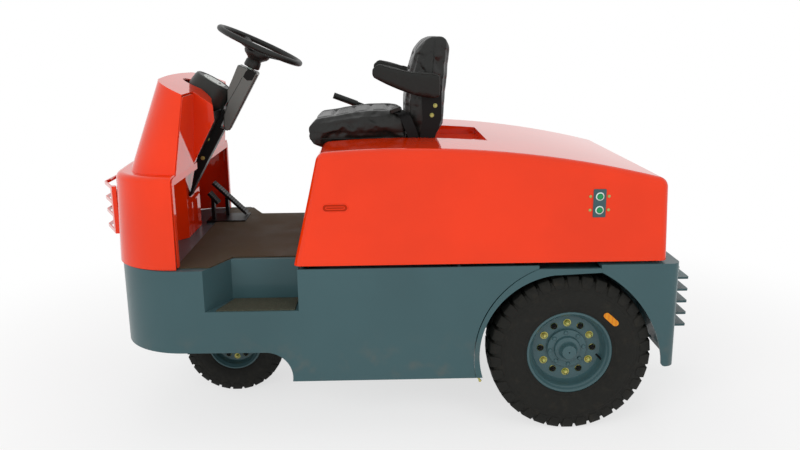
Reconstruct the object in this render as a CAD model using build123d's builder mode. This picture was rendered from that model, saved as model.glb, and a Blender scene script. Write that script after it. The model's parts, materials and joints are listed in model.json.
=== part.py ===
from build123d import *
import math
import os

os.makedirs("parts", exist_ok=True)

# Frame: +X forward, +Y to the driver's left, +Z up, millimetres.
# The origin lies on the ground, under the middle of the whole machine.

# Running gear
REAR_AXLE_X = -642
REAR_R = 333
REAR_TYRE_W = 184
REAR_TYRE_Y = 498
FRONT_AXLE_X = 809
FRONT_R = 228
FRONT_TYRE_W = 126
FRONT_TYRE_Y = 92

# Steel hull
HALF_W = 600
DECK_Z = 716
BELLY_Z = 243
PLATE = 10
NOSE_X = 1208
NOSE_BOW = 16
NOSE_R = 283
SKIRT_Z = 374
ARCH_R = 396
ARCH_FRONT_X = -501
TAIL_X = -1069
TAIL_CORNER_R = 42
TOP_PLATE = 14
FRAME_Y = 340
PAD_H = 72
WELL_REAR_X = 455
WELL_FRONT_X = 829
WELL_FRONT_INNER_X = 745
WELL_INNER_Y = 433
WELL_Z = 546
BAY_FRONT_X = 460
BAY_REAR_X = -190

# Hood and seat
HOOD_Z = 727
HOOD_HALF_W = 592
HOOD_SKIN = 6
POCKET_HALF_W = 248
POCKET_REAR_X = -333
HOOD_CORNER_R = 42
HOOD_EDGE_R = 32
HOOD_TOP_Z = 1182
HINGE_X = -1030
HINGE_Z = 740

# Cowl
COWL_Z = 718
LEDGE_Z = 1085
COWL_SKIN = 6
COWL_REAR_X = 930

# Steering
COLUMN_TILT = 25.4
WHEEL_X = 644
WHEEL_Z = 1569
WHEEL_RING_R = 185.5

# Drawbar coupling at the rear
HITCH_END_X = -1310
HITCH_LEVELS = 5
HITCH_PITCH = 58
HITCH_BASE_Z = 258
PIN_X = -1262


def save(block, label):
    block.part.label = label
    export_step(block.part, f"parts/{label}.step")


def nose_outline(front, bow, radius, rear, half):
    """Plan outline, closed at the rear, with a bowed front and two corner arcs."""
    corner_x = front - radius
    turn = radius * math.sin(math.radians(45))
    with BuildLine() as outline:
        Line((rear, -half), (corner_x, -half))
        ThreePointArc((corner_x, -half), (corner_x + turn, -half + radius - turn), (front, -half + radius))
        ThreePointArc((front, -half + radius), (front + bow, 0), (front, half - radius))
        ThreePointArc((front, half - radius), (corner_x + turn, half - radius + turn), (corner_x, half))
        Line((corner_x, half), (rear, half))
        Line((rear, half), (rear, -half))
    make_face(outline.edges())


# Front hull: nose skirt and side plates in one bent sheet, deck, step wells
well_plan = [
    (WELL_REAR_X, WELL_INNER_Y),
    (WELL_FRONT_INNER_X, WELL_INNER_Y),
    (WELL_FRONT_X, HALF_W + 5),
    (WELL_REAR_X, HALF_W + 5),
]
with BuildPart() as front_hull:
    with BuildSketch(Plane.XY.offset(BELLY_Z)):
        nose_outline(NOSE_X, NOSE_BOW, NOSE_R, ARCH_FRONT_X, HALF_W)
    extrude(amount=DECK_Z - BELLY_Z)
    with BuildSketch(Plane.XY.offset(BELLY_Z - 1)):
        nose_outline(NOSE_X - PLATE, NOSE_BOW, NOSE_R - PLATE, ARCH_FRONT_X - 1, HALF_W - PLATE)
    extrude(amount=DECK_Z - BELLY_Z + 2, mode=Mode.SUBTRACT)
    # deck plate ahead of the battery bay
    with BuildSketch(Plane.XY.offset(DECK_Z - PLATE)):
        nose_outline(NOSE_X - 5, NOSE_BOW, NOSE_R - 5, BAY_FRONT_X, HALF_W - 5)
    extrude(amount=PLATE)
    # side profile under the nose, rising to the skirt's edge with a curve
    with BuildSketch(Plane.XZ.offset(-HALF_W - 20)):
        with BuildLine():
            Line((490, BELLY_Z - 5), (490, BELLY_Z))
            ThreePointArc((490, BELLY_Z), (517, 335), (600, SKIRT_Z - 4))
            Line((600, SKIRT_Z - 4), (1400, SKIRT_Z + 2))
            Line((1400, SKIRT_Z + 2), (1400, BELLY_Z - 5))
            Line((1400, BELLY_Z - 5), (490, BELLY_Z - 5))
        make_face()
    extrude(amount=2 * HALF_W + 40, mode=Mode.SUBTRACT)
    # rear wheel arches
    with BuildSketch(Plane.XZ.offset(-HALF_W - 20)):
        with Locations((REAR_AXLE_X, REAR_R)):
            Circle(ARCH_R)
    extrude(amount=2 * HALF_W + 40, mode=Mode.SUBTRACT)
    for side in (1, -1):
        with BuildSketch(Plane.XY.offset(WELL_Z - PLATE)):
            with BuildLine():
                Polyline(
                    (WELL_REAR_X - PLATE, side * (WELL_INNER_Y - PLATE)),
                    (WELL_FRONT_INNER_X + PLATE, side * (WELL_INNER_Y - PLATE)),
                    (WELL_FRONT_X + PLATE, side * (HALF_W - 2)),
                    (WELL_REAR_X - PLATE, side * (HALF_W - 2)),
                    close=True,
                )
            make_face()
        extrude(amount=DECK_Z - WELL_Z + PLATE - 1)
        with BuildSketch(Plane.XY.offset(WELL_Z)):
            with BuildLine():
                Polyline(*[(x, side * y) for x, y in well_plan], close=True)
            make_face()
        extrude(amount=DECK_Z, mode=Mode.SUBTRACT)
save(front_hull, "front_hull")

# Battery bay: belly plate and two bulkheads between the side plates
BAY_IN = HALF_W - PLATE
with BuildPart() as battery_bay:
    with BuildSketch(Plane.XY.offset(BELLY_Z)):
        with Locations(((BAY_FRONT_X - 16 + BAY_REAR_X) / 2, 0)):
            Rectangle(BAY_FRONT_X - 16 - BAY_REAR_X, 2 * BAY_IN)
    extrude(amount=PLATE)
    for x in (BAY_REAR_X, BAY_FRONT_X - 26):
        with BuildSketch(Plane.XY.offset(BELLY_Z + PLATE)):
            with Locations((x + PLATE / 2, 0)):
                Rectangle(PLATE, 2 * BAY_IN)
        extrude(amount=DECK_Z - BELLY_Z - PLATE)
save(battery_bay, "battery_bay")

# Rear frame: two inner plates, tail plate with rounded corners, thick top plate
with BuildPart() as rear_frame:
    with BuildSketch(Plane.XZ.offset(-FRAME_Y)):
        with BuildLine():
            Polyline(
                (BAY_REAR_X, DECK_Z - TOP_PLATE),
                (BAY_REAR_X, 300),
                (-420, 420),
                (-860, 420),
                (TAIL_X + 12, 300),
                (TAIL_X + 12, DECK_Z - TOP_PLATE),
                close=True,
            )
        make_face()
    extrude(amount=PLATE)
    mirror(about=Plane.XZ)
    with BuildSketch(Plane.XY.offset(DECK_Z - TOP_PLATE)):
        with BuildLine():
            Polyline((TAIL_X, -HALF_W), (-749, -HALF_W), (-749, HALF_W), (TAIL_X, HALF_W), close=True)
        face = make_face()
        fillet(face.vertices().group_by(Axis.X)[0], TAIL_CORNER_R)
    extrude(amount=TOP_PLATE)
    with BuildSketch(Plane.XY.offset(290)):
        with Locations((TAIL_X + 6, 0)):
            Rectangle(12, 2 * (HALF_W - TAIL_CORNER_R - 12))
    extrude(amount=DECK_Z - TOP_PLATE - 290)
    # saddles for the axle pads
    with BuildSketch(Plane.XY.offset(REAR_R + PAD_H)):
        with Locations((REAR_AXLE_X, 265), (REAR_AXLE_X, -265)):
            Rectangle(170, 130)
    extrude(amount=35)
save(rear_frame, "rear_frame")

# Rear fenders: side panel behind the wheel, turned round the tail corner
for side, name in ((1, "left"), (-1, "right")):
    with BuildPart() as fender:
        with BuildSketch(Plane.XZ.offset(-HALF_W if side > 0 else HALF_W - PLATE)):
            with BuildLine():
                Line((-749, DECK_Z - TOP_PLATE), (-749, 685))
                ThreePointArc((-749, 685), (-906, 556), (-1010, 320))
                Line((-1010, 320), (-1012, 290))
                ThreePointArc((-1012, 290), (-1020, 281), (TAIL_X + TAIL_CORNER_R, 279))
                Line((TAIL_X + TAIL_CORNER_R, 279), (TAIL_X + TAIL_CORNER_R, DECK_Z - TOP_PLATE))
                Line((TAIL_X + TAIL_CORNER_R, DECK_Z - TOP_PLATE), (-749, DECK_Z - TOP_PLATE))
            make_face()
        extrude(amount=PLATE)
        with BuildSketch(Plane.XY.offset(279)):
            with BuildLine():
                far = side * HALF_W
                near = side * (HALF_W - TAIL_CORNER_R)
                bend = TAIL_CORNER_R * math.sin(math.radians(45))
                inner = TAIL_CORNER_R - PLATE
                inner_bend = inner * math.sin(math.radians(45))
                cx = TAIL_X + TAIL_CORNER_R
                ThreePointArc((cx, far), (cx - bend, near + side * bend), (TAIL_X, near))
                Line((TAIL_X, near), (TAIL_X, near - side * 12))
                Line((TAIL_X, near - side * 12), (TAIL_X + PLATE, near - side * 12))
                Line((TAIL_X + PLATE, near - side * 12), (TAIL_X + PLATE, near))
                ThreePointArc(
                    (TAIL_X + PLATE, near), (cx - inner_bend, near + side * inner_bend), (cx, far - side * PLATE)
                )
                Line((cx, far - side * PLATE), (cx, far))
            make_face()
        extrude(amount=DECK_Z - TOP_PLATE - 279)
    save(fender, f"fender_{name}")

# Arch flange and wheel housing over each rear wheel
LINER_R = 366
for side, name in ((1, "left"), (-1, "right")):
    start = Plane.XZ.offset(-HALF_W - 3 if side > 0 else FRAME_Y)
    with BuildPart() as housing:
        with BuildSketch(start):
            with BuildLine():
                ThreePointArc((-256, BELLY_Z + 2), (-334, 577), (ARCH_FRONT_X, 703))
                Line((ARCH_FRONT_X, 703), (-749, 702))
                Line((-749, 702), (-749, 684))
                Line((-749, 684), (-560, 676))
                ThreePointArc((-560, 676), (-378, 590), (-282, BELLY_Z + 2))
                Line((-282, BELLY_Z + 2), (-256, BELLY_Z + 2))
            make_face()
        extrude(amount=HALF_W + 3 - FRAME_Y)
        with BuildSketch(Plane.XZ.offset(-HALF_W + 13 if side > 0 else FRAME_Y - 1)):
            with BuildLine():
                ThreePointArc((-240, BELLY_Z), (-330, 590), (ARCH_FRONT_X, 720))
                Line((ARCH_FRONT_X, 720), (-760, 720))
                Line((-760, 720), (-760, 690))
                Line((-760, 690), (-560, 682))
                ThreePointArc((-560, 682), (-373, 594), (-276, BELLY_Z))
                Line((-276, BELLY_Z), (-240, BELLY_Z))
            make_face()
        extrude(amount=HALF_W - 12 - FRAME_Y, mode=Mode.SUBTRACT)
        with BuildSketch(Plane.XZ.offset(-HALF_W + PLATE + 1 if side > 0 else FRAME_Y)):
            with BuildLine():
                ThreePointArc((-749, 690), (-925, 580), (-1008, 370))
                Line((-1008, 370), (-1002, 370))
                ThreePointArc((-1002, 370), (-920, 576), (-749, 684))
                Line((-749, 684), (-749, 690))
            make_face()
        extrude(amount=HALF_W - PLATE - 1 - FRAME_Y)
    save(housing, f"wheel_housing_{name}")

# Floor mat and the two step mats
with BuildPart() as floor_mat:
    with BuildSketch(Plane.XY.offset(DECK_Z)):
        nose_outline(1180, 10, 250, 475, 560)
        for side in (1, -1):
            with BuildLine():
                Polyline(
                    (WELL_REAR_X - 2, side * (WELL_INNER_Y - 21)),
                    (WELL_FRONT_INNER_X - 6, side * (WELL_INNER_Y - 21)),
                    (WELL_FRONT_X - 24, side * (HALF_W - 40)),
                    (WELL_FRONT_X - 24, side * (HALF_W + 5)),
                    (WELL_REAR_X - 2, side * (HALF_W + 5)),
                    close=True,
                )
            make_face(mode=Mode.SUBTRACT)
        with Locations((1050, 0)):
            Rectangle(220, 1200, mode=Mode.SUBTRACT)
    extrude(amount=5)
    with BuildSketch(Plane.XY.offset(DECK_Z)):
        with Locations((1200, 0)):
            Rectangle(120, 1200)
    extrude(amount=20, mode=Mode.SUBTRACT)
save(floor_mat, "floor_mat")

for side, name in ((1, "left"), (-1, "right")):
    with BuildPart() as step_mat:
        with BuildSketch(Plane.XY.offset(WELL_Z)):
            with BuildLine():
                Polyline(
                    (WELL_REAR_X + 15, side * (WELL_INNER_Y + 12)),
                    (WELL_FRONT_INNER_X - 10, side * (WELL_INNER_Y + 12)),
                    (WELL_FRONT_X - 45, side * (HALF_W - 8)),
                    (WELL_REAR_X + 15, side * (HALF_W - 8)),
                    close=True,
                )
            make_face()
        extrude(amount=5)
    save(step_mat, f"step_mat_{name}")

# Battery, one plain block at its real place and size
with BuildPart() as battery:
    with BuildSketch(Plane.XY.offset(BELLY_Z + PLATE)):
        with Locations((130, 0)):
            Rectangle(590, 830)
    extrude(amount=627)
save(battery, "battery")

# Drive axle: beam, brake backing plates, gear casing and motor
with BuildPart() as drive_axle:
    axle_plane = Plane(origin=(REAR_AXLE_X, -400, REAR_R), x_dir=(1, 0, 0), z_dir=(0, 1, 0))
    with BuildSketch(axle_plane):
        Circle(60)
    extrude(amount=800)
    for y in (-400, 385):
        with BuildSketch(Plane(origin=(REAR_AXLE_X, y, REAR_R), x_dir=(1, 0, 0), z_dir=(0, 1, 0))):
            Circle(105)
        extrude(amount=15)
    with BuildSketch(Plane(origin=(REAR_AXLE_X, -75, REAR_R), x_dir=(1, 0, 0), z_dir=(0, 1, 0))):
        Circle(140)
    extrude(amount=150)
    with BuildSketch(Plane.YZ.offset(REAR_AXLE_X)):
        with Locations((0, REAR_R + 20)):
            Circle(115)
    extrude(amount=400)
    for y in (-250, 250):
        with BuildSketch(Plane.XY.offset(REAR_R)):
            with Locations((REAR_AXLE_X, y)):
                Rectangle(150, 90)
        extrude(amount=PAD_H)
save(drive_axle, "drive_axle")

def ring_plane(x, y, z):
    """Plane whose sketch x runs along +Y and whose sketch y is the radius."""
    return Plane(origin=(x, y, z), x_dir=(0, 1, 0), z_dir=(1, 0, 0))


def make_tyre(x, y, radius, half_w, bead_r, lugs, lug_w, lug_h, lug_long):
    """Cross-ply tyre with a row of staggered shoulder lugs on each side."""
    carcass_r = radius - lug_h
    belly_r = bead_r + 0.52 * (carcass_r - bead_r)
    bead_y = 0.76 * half_w
    tread_y = 0.8 * half_w
    with BuildPart() as tyre:
        with BuildSketch(ring_plane(x, y, radius)):
            with BuildLine():
                ThreePointArc((-bead_y, bead_r), (-half_w, belly_r), (-tread_y, carcass_r - 9))
                Line((-tread_y, carcass_r - 9), (tread_y, carcass_r - 9))
                ThreePointArc((tread_y, carcass_r - 9), (half_w, belly_r), (bead_y, bead_r))
                Line((bead_y, bead_r), (-bead_y, bead_r))
            make_face()
        revolve(axis=Axis((x, y, radius), (0, 1, 0)))
        for row, turn in ((1, 0), (-1, 180 / lugs)):
            face_y = y + row * (tread_y + 6)
            plane = Plane(origin=(x, face_y, radius), x_dir=(1, 0, 0), z_dir=(0, -row, 0))
            corner_turn = math.pi / lugs - math.asin(lug_w / 2 / radius)
            tip = math.sqrt((radius / math.cos(corner_turn)) ** 2 - (lug_w / 2) ** 2)
            depth = lug_h + 16
            with BuildSketch(plane):
                with PolarLocations(tip - depth / 2, lugs, start_angle=turn):
                    Rectangle(depth, lug_w)
            extrude(amount=lug_long)
    return tyre


def make_rim(x, y, radius, outward, section):
    with BuildPart() as rim:
        with BuildSketch(ring_plane(x, y, radius)):
            with BuildLine():
                Polyline(*[(outward * u, r) for u, r in section], close=True)
            make_face()
        revolve(axis=Axis((x, y, radius), (0, 1, 0)))
    return rim


# Rear wheels. Section columns: distance outward from the tyre's middle, radius
REAR_RIM = [
    (70, 164), (70, 176), (64, 176), (62, 162), (54, 153.5), (28, 150), (20, 142), (-20, 142), (-28, 150),
    (-54, 153.5), (-62, 162), (-64, 176), (-70, 176), (-70, 160), (-58, 147), (-28, 143), (-20, 135),
    (0, 135), (0, 60), (9, 60), (9, 135), (20, 135), (28, 143), (58, 147),
]
REAR_HUB = [
    (-90, 0), (-90, 112), (-0.1, 112), (-0.1, 59.8), (9, 59.8), (9, 82), (23, 82), (26, 56), (36, 52),
    (40, 33), (66, 30), (72, 22), (72, 0),
]
for side, name in ((1, "left"), (-1, "right")):
    y = side * REAR_TYRE_Y
    tyre = make_tyre(REAR_AXLE_X, y, REAR_R, REAR_TYRE_W / 2, 176.2, 30, 38, 14, 62)
    save(tyre, f"rear_tyre_{name}")
    rim = make_rim(REAR_AXLE_X, y, REAR_R, side, REAR_RIM)
    save(rim, f"rear_rim_{name}")
    hub = make_rim(REAR_AXLE_X, y, REAR_R, side, REAR_HUB)
    save(hub, f"rear_hub_{name}")

# Front twin wheels on one pin, held by the middle leg of the steering head
FRONT_RIM = [
    (52, 112), (52, 123), (47, 123), (45, 111), (38, 104), (20, 101), (-20, 101), (-38, 104), (-45, 111),
    (-47, 123), (-52, 123), (-52, 110), (-41, 98), (-20, 95), (-10, 95), (-10, 45), (-2, 45), (-2, 95),
    (20, 95), (41, 98),
]
FRONT_HUB = [
    (-62, 25.1), (-62, 44), (-10, 44.8), (-2, 44.8), (-2, 62), (8, 62), (10, 40), (34, 36), (38, 0), (32, 0), (32, 25.1),
]
for side, name in ((1, "left"), (-1, "right")):
    y = side * FRONT_TYRE_Y
    tyre = make_tyre(FRONT_AXLE_X, y, FRONT_R, FRONT_TYRE_W / 2, 123.2, 24, 30, 10, 42)
    save(tyre, f"front_tyre_{name}")
    rim = make_rim(FRONT_AXLE_X, y, FRONT_R, side, FRONT_RIM)
    save(rim, f"front_rim_{name}")
    hub = make_rim(FRONT_AXLE_X, y, FRONT_R, side, FRONT_HUB)
    save(hub, f"front_hub_{name}")

# Steering head: middle leg, wheel pin, turntable and king post
with BuildPart() as steering_head:
    with BuildSketch(Plane.XZ.offset(-20)):
        with Locations((FRONT_AXLE_X, FRONT_R)):
            Circle(48)
        with Locations((FRONT_AXLE_X, (FRONT_R + 478) / 2)):
            Rectangle(96, 478 - FRONT_R)
    extrude(amount=40)
    with BuildSketch(Plane.XZ.offset(-118)):
        with Locations((FRONT_AXLE_X, FRONT_R)):
            Circle(25)
    extrude(amount=236)
    with BuildSketch(Plane.XY.offset(474)):
        with Locations((FRONT_AXLE_X, 0)):
            Circle(150)
    extrude(amount=22)
    with BuildSketch(Plane.XY.offset(496)):
        with Locations((FRONT_AXLE_X, 0)):
            Circle(60)
    extrude(amount=104)
save(steering_head, "steering_head")

# Fixed bearing housing under the deck
with BuildPart() as steering_bearing:
    with BuildSketch(Plane.XY.offset(505)):
        with Locations((FRONT_AXLE_X, 0)):
            Circle(105)
            Circle(60.5, mode=Mode.SUBTRACT)
    extrude(amount=150)
    with BuildSketch(Plane.XY.offset(655)):
        with Locations((FRONT_AXLE_X, 0)):
            Circle(150)
    extrude(amount=DECK_Z - PLATE - 655)
save(steering_bearing, "steering_bearing")

# Cowl: a wide lower part with a ledge, and a leaning tower above it
TOWER_TOP = 1470
LEDGE_R = 26
TOWER_FOOT = LEDGE_Z - 20
# Section columns: height, front X, corner radius, half width
LOWER = [(COWL_Z, 1218, 272, 589), (LEDGE_Z, 1206, 262, 577)]
TOWER = [(TOWER_FOOT, 1153, 190, 514), (TOWER_TOP, 1016, 180, 436)]


def cowl_block(inset):
    """Solid cowl form, drawn in by inset: wide lower part, then the leaning tower."""
    with BuildPart() as block:
        for z, front, radius, half in LOWER:
            drop = inset if z == LEDGE_Z else (1 if inset else 0)
            with BuildSketch(Plane.XY.offset(z - drop)):
                nose_outline(front - inset, 18, radius - inset, COWL_REAR_X - 60, half - inset)
        loft()
        top = block.faces().sort_by(Axis.Z)[-1]
        fillet(top.edges().filter_by(lambda e: e.center().X > COWL_REAR_X - 59), LEDGE_R - inset)
        for z, front, radius, half in TOWER:
            with BuildSketch(Plane.XY.offset(z)):
                nose_outline(front - inset, 12, radius - inset, 700, half - inset)
        loft()
    return block


with BuildPart() as cowl:
    add(cowl_block(0).part)
    add(cowl_block(COWL_SKIN).part, mode=Mode.SUBTRACT)
    # rear edge, leaning forward as it goes up
    with BuildSketch(Plane.XZ.offset(-700)):
        with BuildLine():
            Polyline(
                (COWL_REAR_X, COWL_Z - 5), (COWL_REAR_X, 1062), (893, 1391), (893, 1500), (500, 1500),
                (500, COWL_Z - 5), close=True,
            )
        make_face()
    extrude(amount=1400, mode=Mode.SUBTRACT)
    # sloping rim of the tower
    with BuildSketch(Plane.XZ.offset(-700)):
        with BuildLine():
            Polyline((1150, 1497), (800, 1352), (800, 1600), (1150, 1600), close=True)
        make_face()
    extrude(amount=1400, mode=Mode.SUBTRACT)
save(cowl, "cowl")

# Top plate of the tower, with a cut-out for the instrument pod
with BuildPart() as cowl_top:
    for z, front, radius, half in TOWER:
        with BuildSketch(Plane.XY.offset(z)):
            nose_outline(front - COWL_SKIN, 12, radius - COWL_SKIN, 700, half - COWL_SKIN)
    loft()
    with BuildSketch(Plane.XZ.offset(-700)):
        with BuildLine():
            Polyline((1150, 1497), (893, 1390.5), (893, 1384), (1150, 1490.5), close=True)
        make_face()
    extrude(amount=1400, mode=Mode.INTERSECT)
    with BuildSketch(Plane.XY.offset(1300)):
        with Locations((893, 0)):
            Circle(98)
    extrude(amount=300, mode=Mode.SUBTRACT)
save(cowl_top, "cowl_top")

# Shroud round the column: concave wings from the tower's rear edges to the pod
with BuildPart() as column_shroud:
    with BuildSketch(Plane.XY.offset(1060)):
        with BuildLine():
            Polyline((892, -430), (818, -215), (818, 215), (892, 430), (892, 424), (826, 206), (826, -206), (892, -424), close=True)
        make_face()
    extrude(amount=400)
    with BuildSketch(Plane.XZ.offset(-700)):
        with BuildLine():
            Polyline((900, 1384), (815, 1334), (815, 1270), (900, 1120), close=True)
        make_face()
    extrude(amount=1400, mode=Mode.INTERSECT)
    with BuildSketch(Plane.YZ.offset(800)):
        with Locations((0, 1250)):
            Rectangle(210, 400)
    extrude(amount=40, mode=Mode.SUBTRACT)
save(column_shroud, "column_shroud")

# Knee panel: sloping shelf over the footwell with bolted flanges, open for the column
with BuildPart() as knee_panel:
    with BuildSketch(Plane.XZ.offset(-488)):
        with BuildLine():
            Polyline(
                (912, 1160), (905, 1160), (935, 1075), (935, 1047), (941, 1047), (941, 1077), close=True,
            )
        make_face()
    extrude(amount=976)
    with BuildSketch(Plane.YZ.offset(850)):
        with Locations((0, 1110)):
            Rectangle(190, 200)
    extrude(amount=120, mode=Mode.SUBTRACT)
save(knee_panel, "knee_panel")

# Cover over the steering gear, a faceted column between the legs of the cowl
with BuildPart() as tunnel:
    with BuildSketch(Plane.XY.offset(DECK_Z)):
        with BuildLine():
            Polyline((1150, 150), (1040, 110), (1000, 59), (1000, -189), (1040, -240), (1150, -280), close=True)
        make_face()
    extrude(amount=350)
    with BuildSketch(Plane.XY.offset(DECK_Z - 1)):
        with BuildLine():
            Polyline((1160, 140), (1044, 104), (1006, 56), (1006, -186), (1044, -234), (1160, -270), close=True)
        make_face()
    extrude(amount=345, mode=Mode.SUBTRACT)
save(tunnel, "steering_gear_cover")

# Steering column: local z runs up the column from the middle of the steering wheel
tilt = math.radians(COLUMN_TILT)
column = Plane(
    origin=(WHEEL_X, 0, WHEEL_Z),
    x_dir=(math.cos(tilt), 0, math.sin(tilt)),
    z_dir=(-math.sin(tilt), 0, math.cos(tilt)),
)
COVER_TOP = -113
COVER_END = -403
COVER_DEPTH = 56
COVER_W = 84
SHAFT_R = 16
with BuildPart() as column_cover:
    with BuildSketch(column.offset(COVER_END)):
        with Locations((-10, 0)):
            RectangleRounded(COVER_DEPTH, COVER_W, 12)
    extrude(amount=COVER_TOP - COVER_END)
    with BuildSketch(column.offset(COVER_TOP - 70)):
        with Locations((0, 0)):
            Circle(SHAFT_R + 2)
    extrude(amount=90, mode=Mode.SUBTRACT)
save(column_cover, "column_cover")

# Black bracket that carries the column, tapering to a point between the flanges
with BuildPart() as column_bracket:
    with BuildSketch(Plane(origin=column.origin + column.y_dir * 32, x_dir=column.x_dir, z_dir=-column.y_dir)):
        with BuildLine():
            Polyline(
                (22, -322), (60, -337), (62, -400), (38, -560), (14, -752), (4, -745), (-28, -560), (-20, -405),
                (19, -405), close=True,
            )
        make_face()
    extrude(amount=64)
save(column_bracket, "column_bracket")

with BuildPart() as steering_wheel:
    with BuildSketch(Plane(origin=column.origin, x_dir=column.x_dir, z_dir=-column.y_dir)):
        with Locations((WHEEL_RING_R, 0)):
            Circle(13.5)
    revolve(axis=Axis(column.origin, column.z_dir))
    with BuildSketch(column.offset(-34)):
        Circle(48)
    extrude(amount=28)
    with BuildSketch(column.offset(-98)):
        Circle(30)
    extrude(amount=64)
    with BuildSketch(column.offset(-160)):
        Circle(SHAFT_R)
    extrude(amount=64)
    for turn in (60, 180, 300):
        a = math.radians(turn)
        spoke = Plane(
            origin=column.origin + column.x_dir * 40 * math.cos(a) + column.y_dir * 40 * math.sin(a) - column.z_dir * 20,
            x_dir=column.z_dir,
            z_dir=column.x_dir * math.cos(a) + column.y_dir * math.sin(a),
        )
        with BuildSketch(spoke):
            RectangleRounded(12, 30, 4)
        with BuildSketch(spoke.offset(WHEEL_RING_R - 42)):
            with Locations((18, 0)):
                RectangleRounded(10, 22, 3)
        loft()
save(steering_wheel, "steering_wheel")

# Instrument pod, a short cone with a display face
pod_tilt = math.radians(32)
pod = Plane(
    origin=(853, 0, 1421),
    x_dir=(math.cos(pod_tilt), 0, math.sin(pod_tilt)),
    z_dir=(-math.sin(pod_tilt), 0, math.cos(pod_tilt)),
)
with BuildPart() as instrument_pod:
    with BuildSketch(pod.offset(-84)):
        Circle(88)
    with BuildSketch(pod):
        Circle(71)
    loft()
    with BuildSketch(pod.offset(-2)):
        Circle(60)
    extrude(amount=3, mode=Mode.SUBTRACT)
save(instrument_pod, "instrument_pod")

# Pedals on a low base, to the right of the steering gear cover
PEDAL_PLATE_Z = DECK_Z + 5
PEDAL_PLATE_T = 6
with BuildPart() as pedal_base:
    with BuildSketch(Plane.XY.offset(PEDAL_PLATE_Z)):
        with Locations((890, -318)):
            Rectangle(190, 174)
    extrude(amount=PEDAL_PLATE_T)
    with BuildSketch(Plane.XY.offset(DECK_Z)):
        with Locations((963, -318)):
            Rectangle(44, 174)
    extrude(amount=6)
save(pedal_base, "pedal_base")
PEDALS = [
    # name, lower end X and Z, upper end X and Z, middle Y, width, post X, post height
    ("accelerator_pedal", 808, 735, 969, 895, -365, 62, 905, 92),
    ("brake_pedal", 927, 808, 971, 861, -270, 66, 955, 104),
]
for name, x0, z0, x1, z1, y, width, post_x, post_h in PEDALS:
    with BuildPart() as pedal:
        run = Vector(x1 - x0, 0, z1 - z0)
        flat = Plane(origin=(x0, y + width / 2, z0), x_dir=run.normalized(), z_dir=(0, -1, 0))
        with BuildSketch(flat):
            with Locations((run.length / 2, 0)):
                Rectangle(run.length, 12)
        extrude(amount=width)
        with BuildSketch(Plane.XY.offset(PEDAL_PLATE_Z + PEDAL_PLATE_T)):
            with Locations((post_x, y)):
                Rectangle(16, 30)
        extrude(amount=post_h)
    save(pedal, name)

# Front lamps on a shallow box, and the guard of bent flat bars round them
GUARD_BARS = [940, 885, 818]
GUARD_TOP_Z = 1004
with BuildPart() as lamp_box:
    with BuildSketch(Plane.XY.offset(815)):
        with BuildLine():
            Polyline((1224, -190), (1262, -180), (1262, 180), (1224, 190), close=True)
        make_face()
    extrude(amount=180)
    with BuildSketch(Plane.XY.offset(COWL_Z)):
        nose_outline(1221, 18, 272, COWL_REAR_X, 600)
    extrude(amount=400, mode=Mode.SUBTRACT)
save(lamp_box, "lamp_box")
for y, name in ((105, "left"), (-105, "right")):
    with BuildPart() as lamp:
        with BuildSketch(Plane.YZ.offset(1262)):
            with Locations((y, 905)):
                Circle(62)
        extrude(amount=22)
        with BuildSketch(Plane.YZ.offset(1284)):
            with Locations((y, 905)):
                Circle(55)
        extrude(amount=6)
    save(lamp, f"head_lamp_{name}")

BAR_T = 6
BAR_H = 14
with BuildPart() as lamp_guard:
    for z in [GUARD_TOP_Z] + GUARD_BARS:
        with BuildSketch(Plane.XY.offset(z - BAR_H / 2)):
            with BuildLine():
                Polyline(
                    (1228, 345), (1304, 205), (1304, -205), (1228, -345), (1235, -345), (1310, -207), (1310, 207),
                    (1235, 345), close=True,
                )
            make_face()
        extrude(amount=BAR_H)
    for side in (1, -1):
        with BuildSketch(Plane.XY.offset(818 - BAR_H / 2)):
            with BuildLine():
                Polyline((1213, side * 345), (1235, side * 345), (1251, side * 315), (1228, side * 315), close=True)
            make_face()
        extrude(amount=GUARD_TOP_Z - 818 + BAR_H)
    with BuildSketch(Plane.XY.offset(COWL_Z)):
        nose_outline(1219, 18, 272, COWL_REAR_X, 591)
    extrude(amount=400, mode=Mode.SUBTRACT)
save(lamp_guard, "lamp_guard")

# Drawbar coupling: a stack of jaw plates on two cheeks, open to the rear
HITCH_T = 10
with BuildPart() as hitch:
    for k in range(HITCH_LEVELS):
        with BuildSketch(Plane.XY.offset(HITCH_BASE_Z + k * HITCH_PITCH - HITCH_T / 2)):
            with BuildLine():
                Polyline((TAIL_X - 12, -78), (HITCH_END_X, -78), (HITCH_END_X, 78), (TAIL_X - 12, 78), close=True)
            plate_face = make_face()
            fillet(plate_face.vertices().group_by(Axis.X)[0], 10)
            with Locations((PIN_X, 0)):
                Circle(18, mode=Mode.SUBTRACT)
        extrude(amount=HITCH_T)
    hitch_low = HITCH_BASE_Z - HITCH_T / 2
    hitch_high = HITCH_BASE_Z + (HITCH_LEVELS - 1) * HITCH_PITCH + HITCH_T / 2
    for y in (-78, 68):
        with BuildSketch(Plane.XY.offset(hitch_low)):
            with Locations(((TAIL_X - 12 - 1190) / 2, y + 5)):
                Rectangle(1190 - 12 + TAIL_X, 10)
        extrude(amount=hitch_high - hitch_low)
    with BuildSketch(Plane.XY.offset(hitch_low - 18)):
        with Locations((TAIL_X - 6, 0)):
            Rectangle(12, 230)
    extrude(amount=hitch_high - hitch_low + 60)
save(hitch, "drawbar_coupling")

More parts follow.
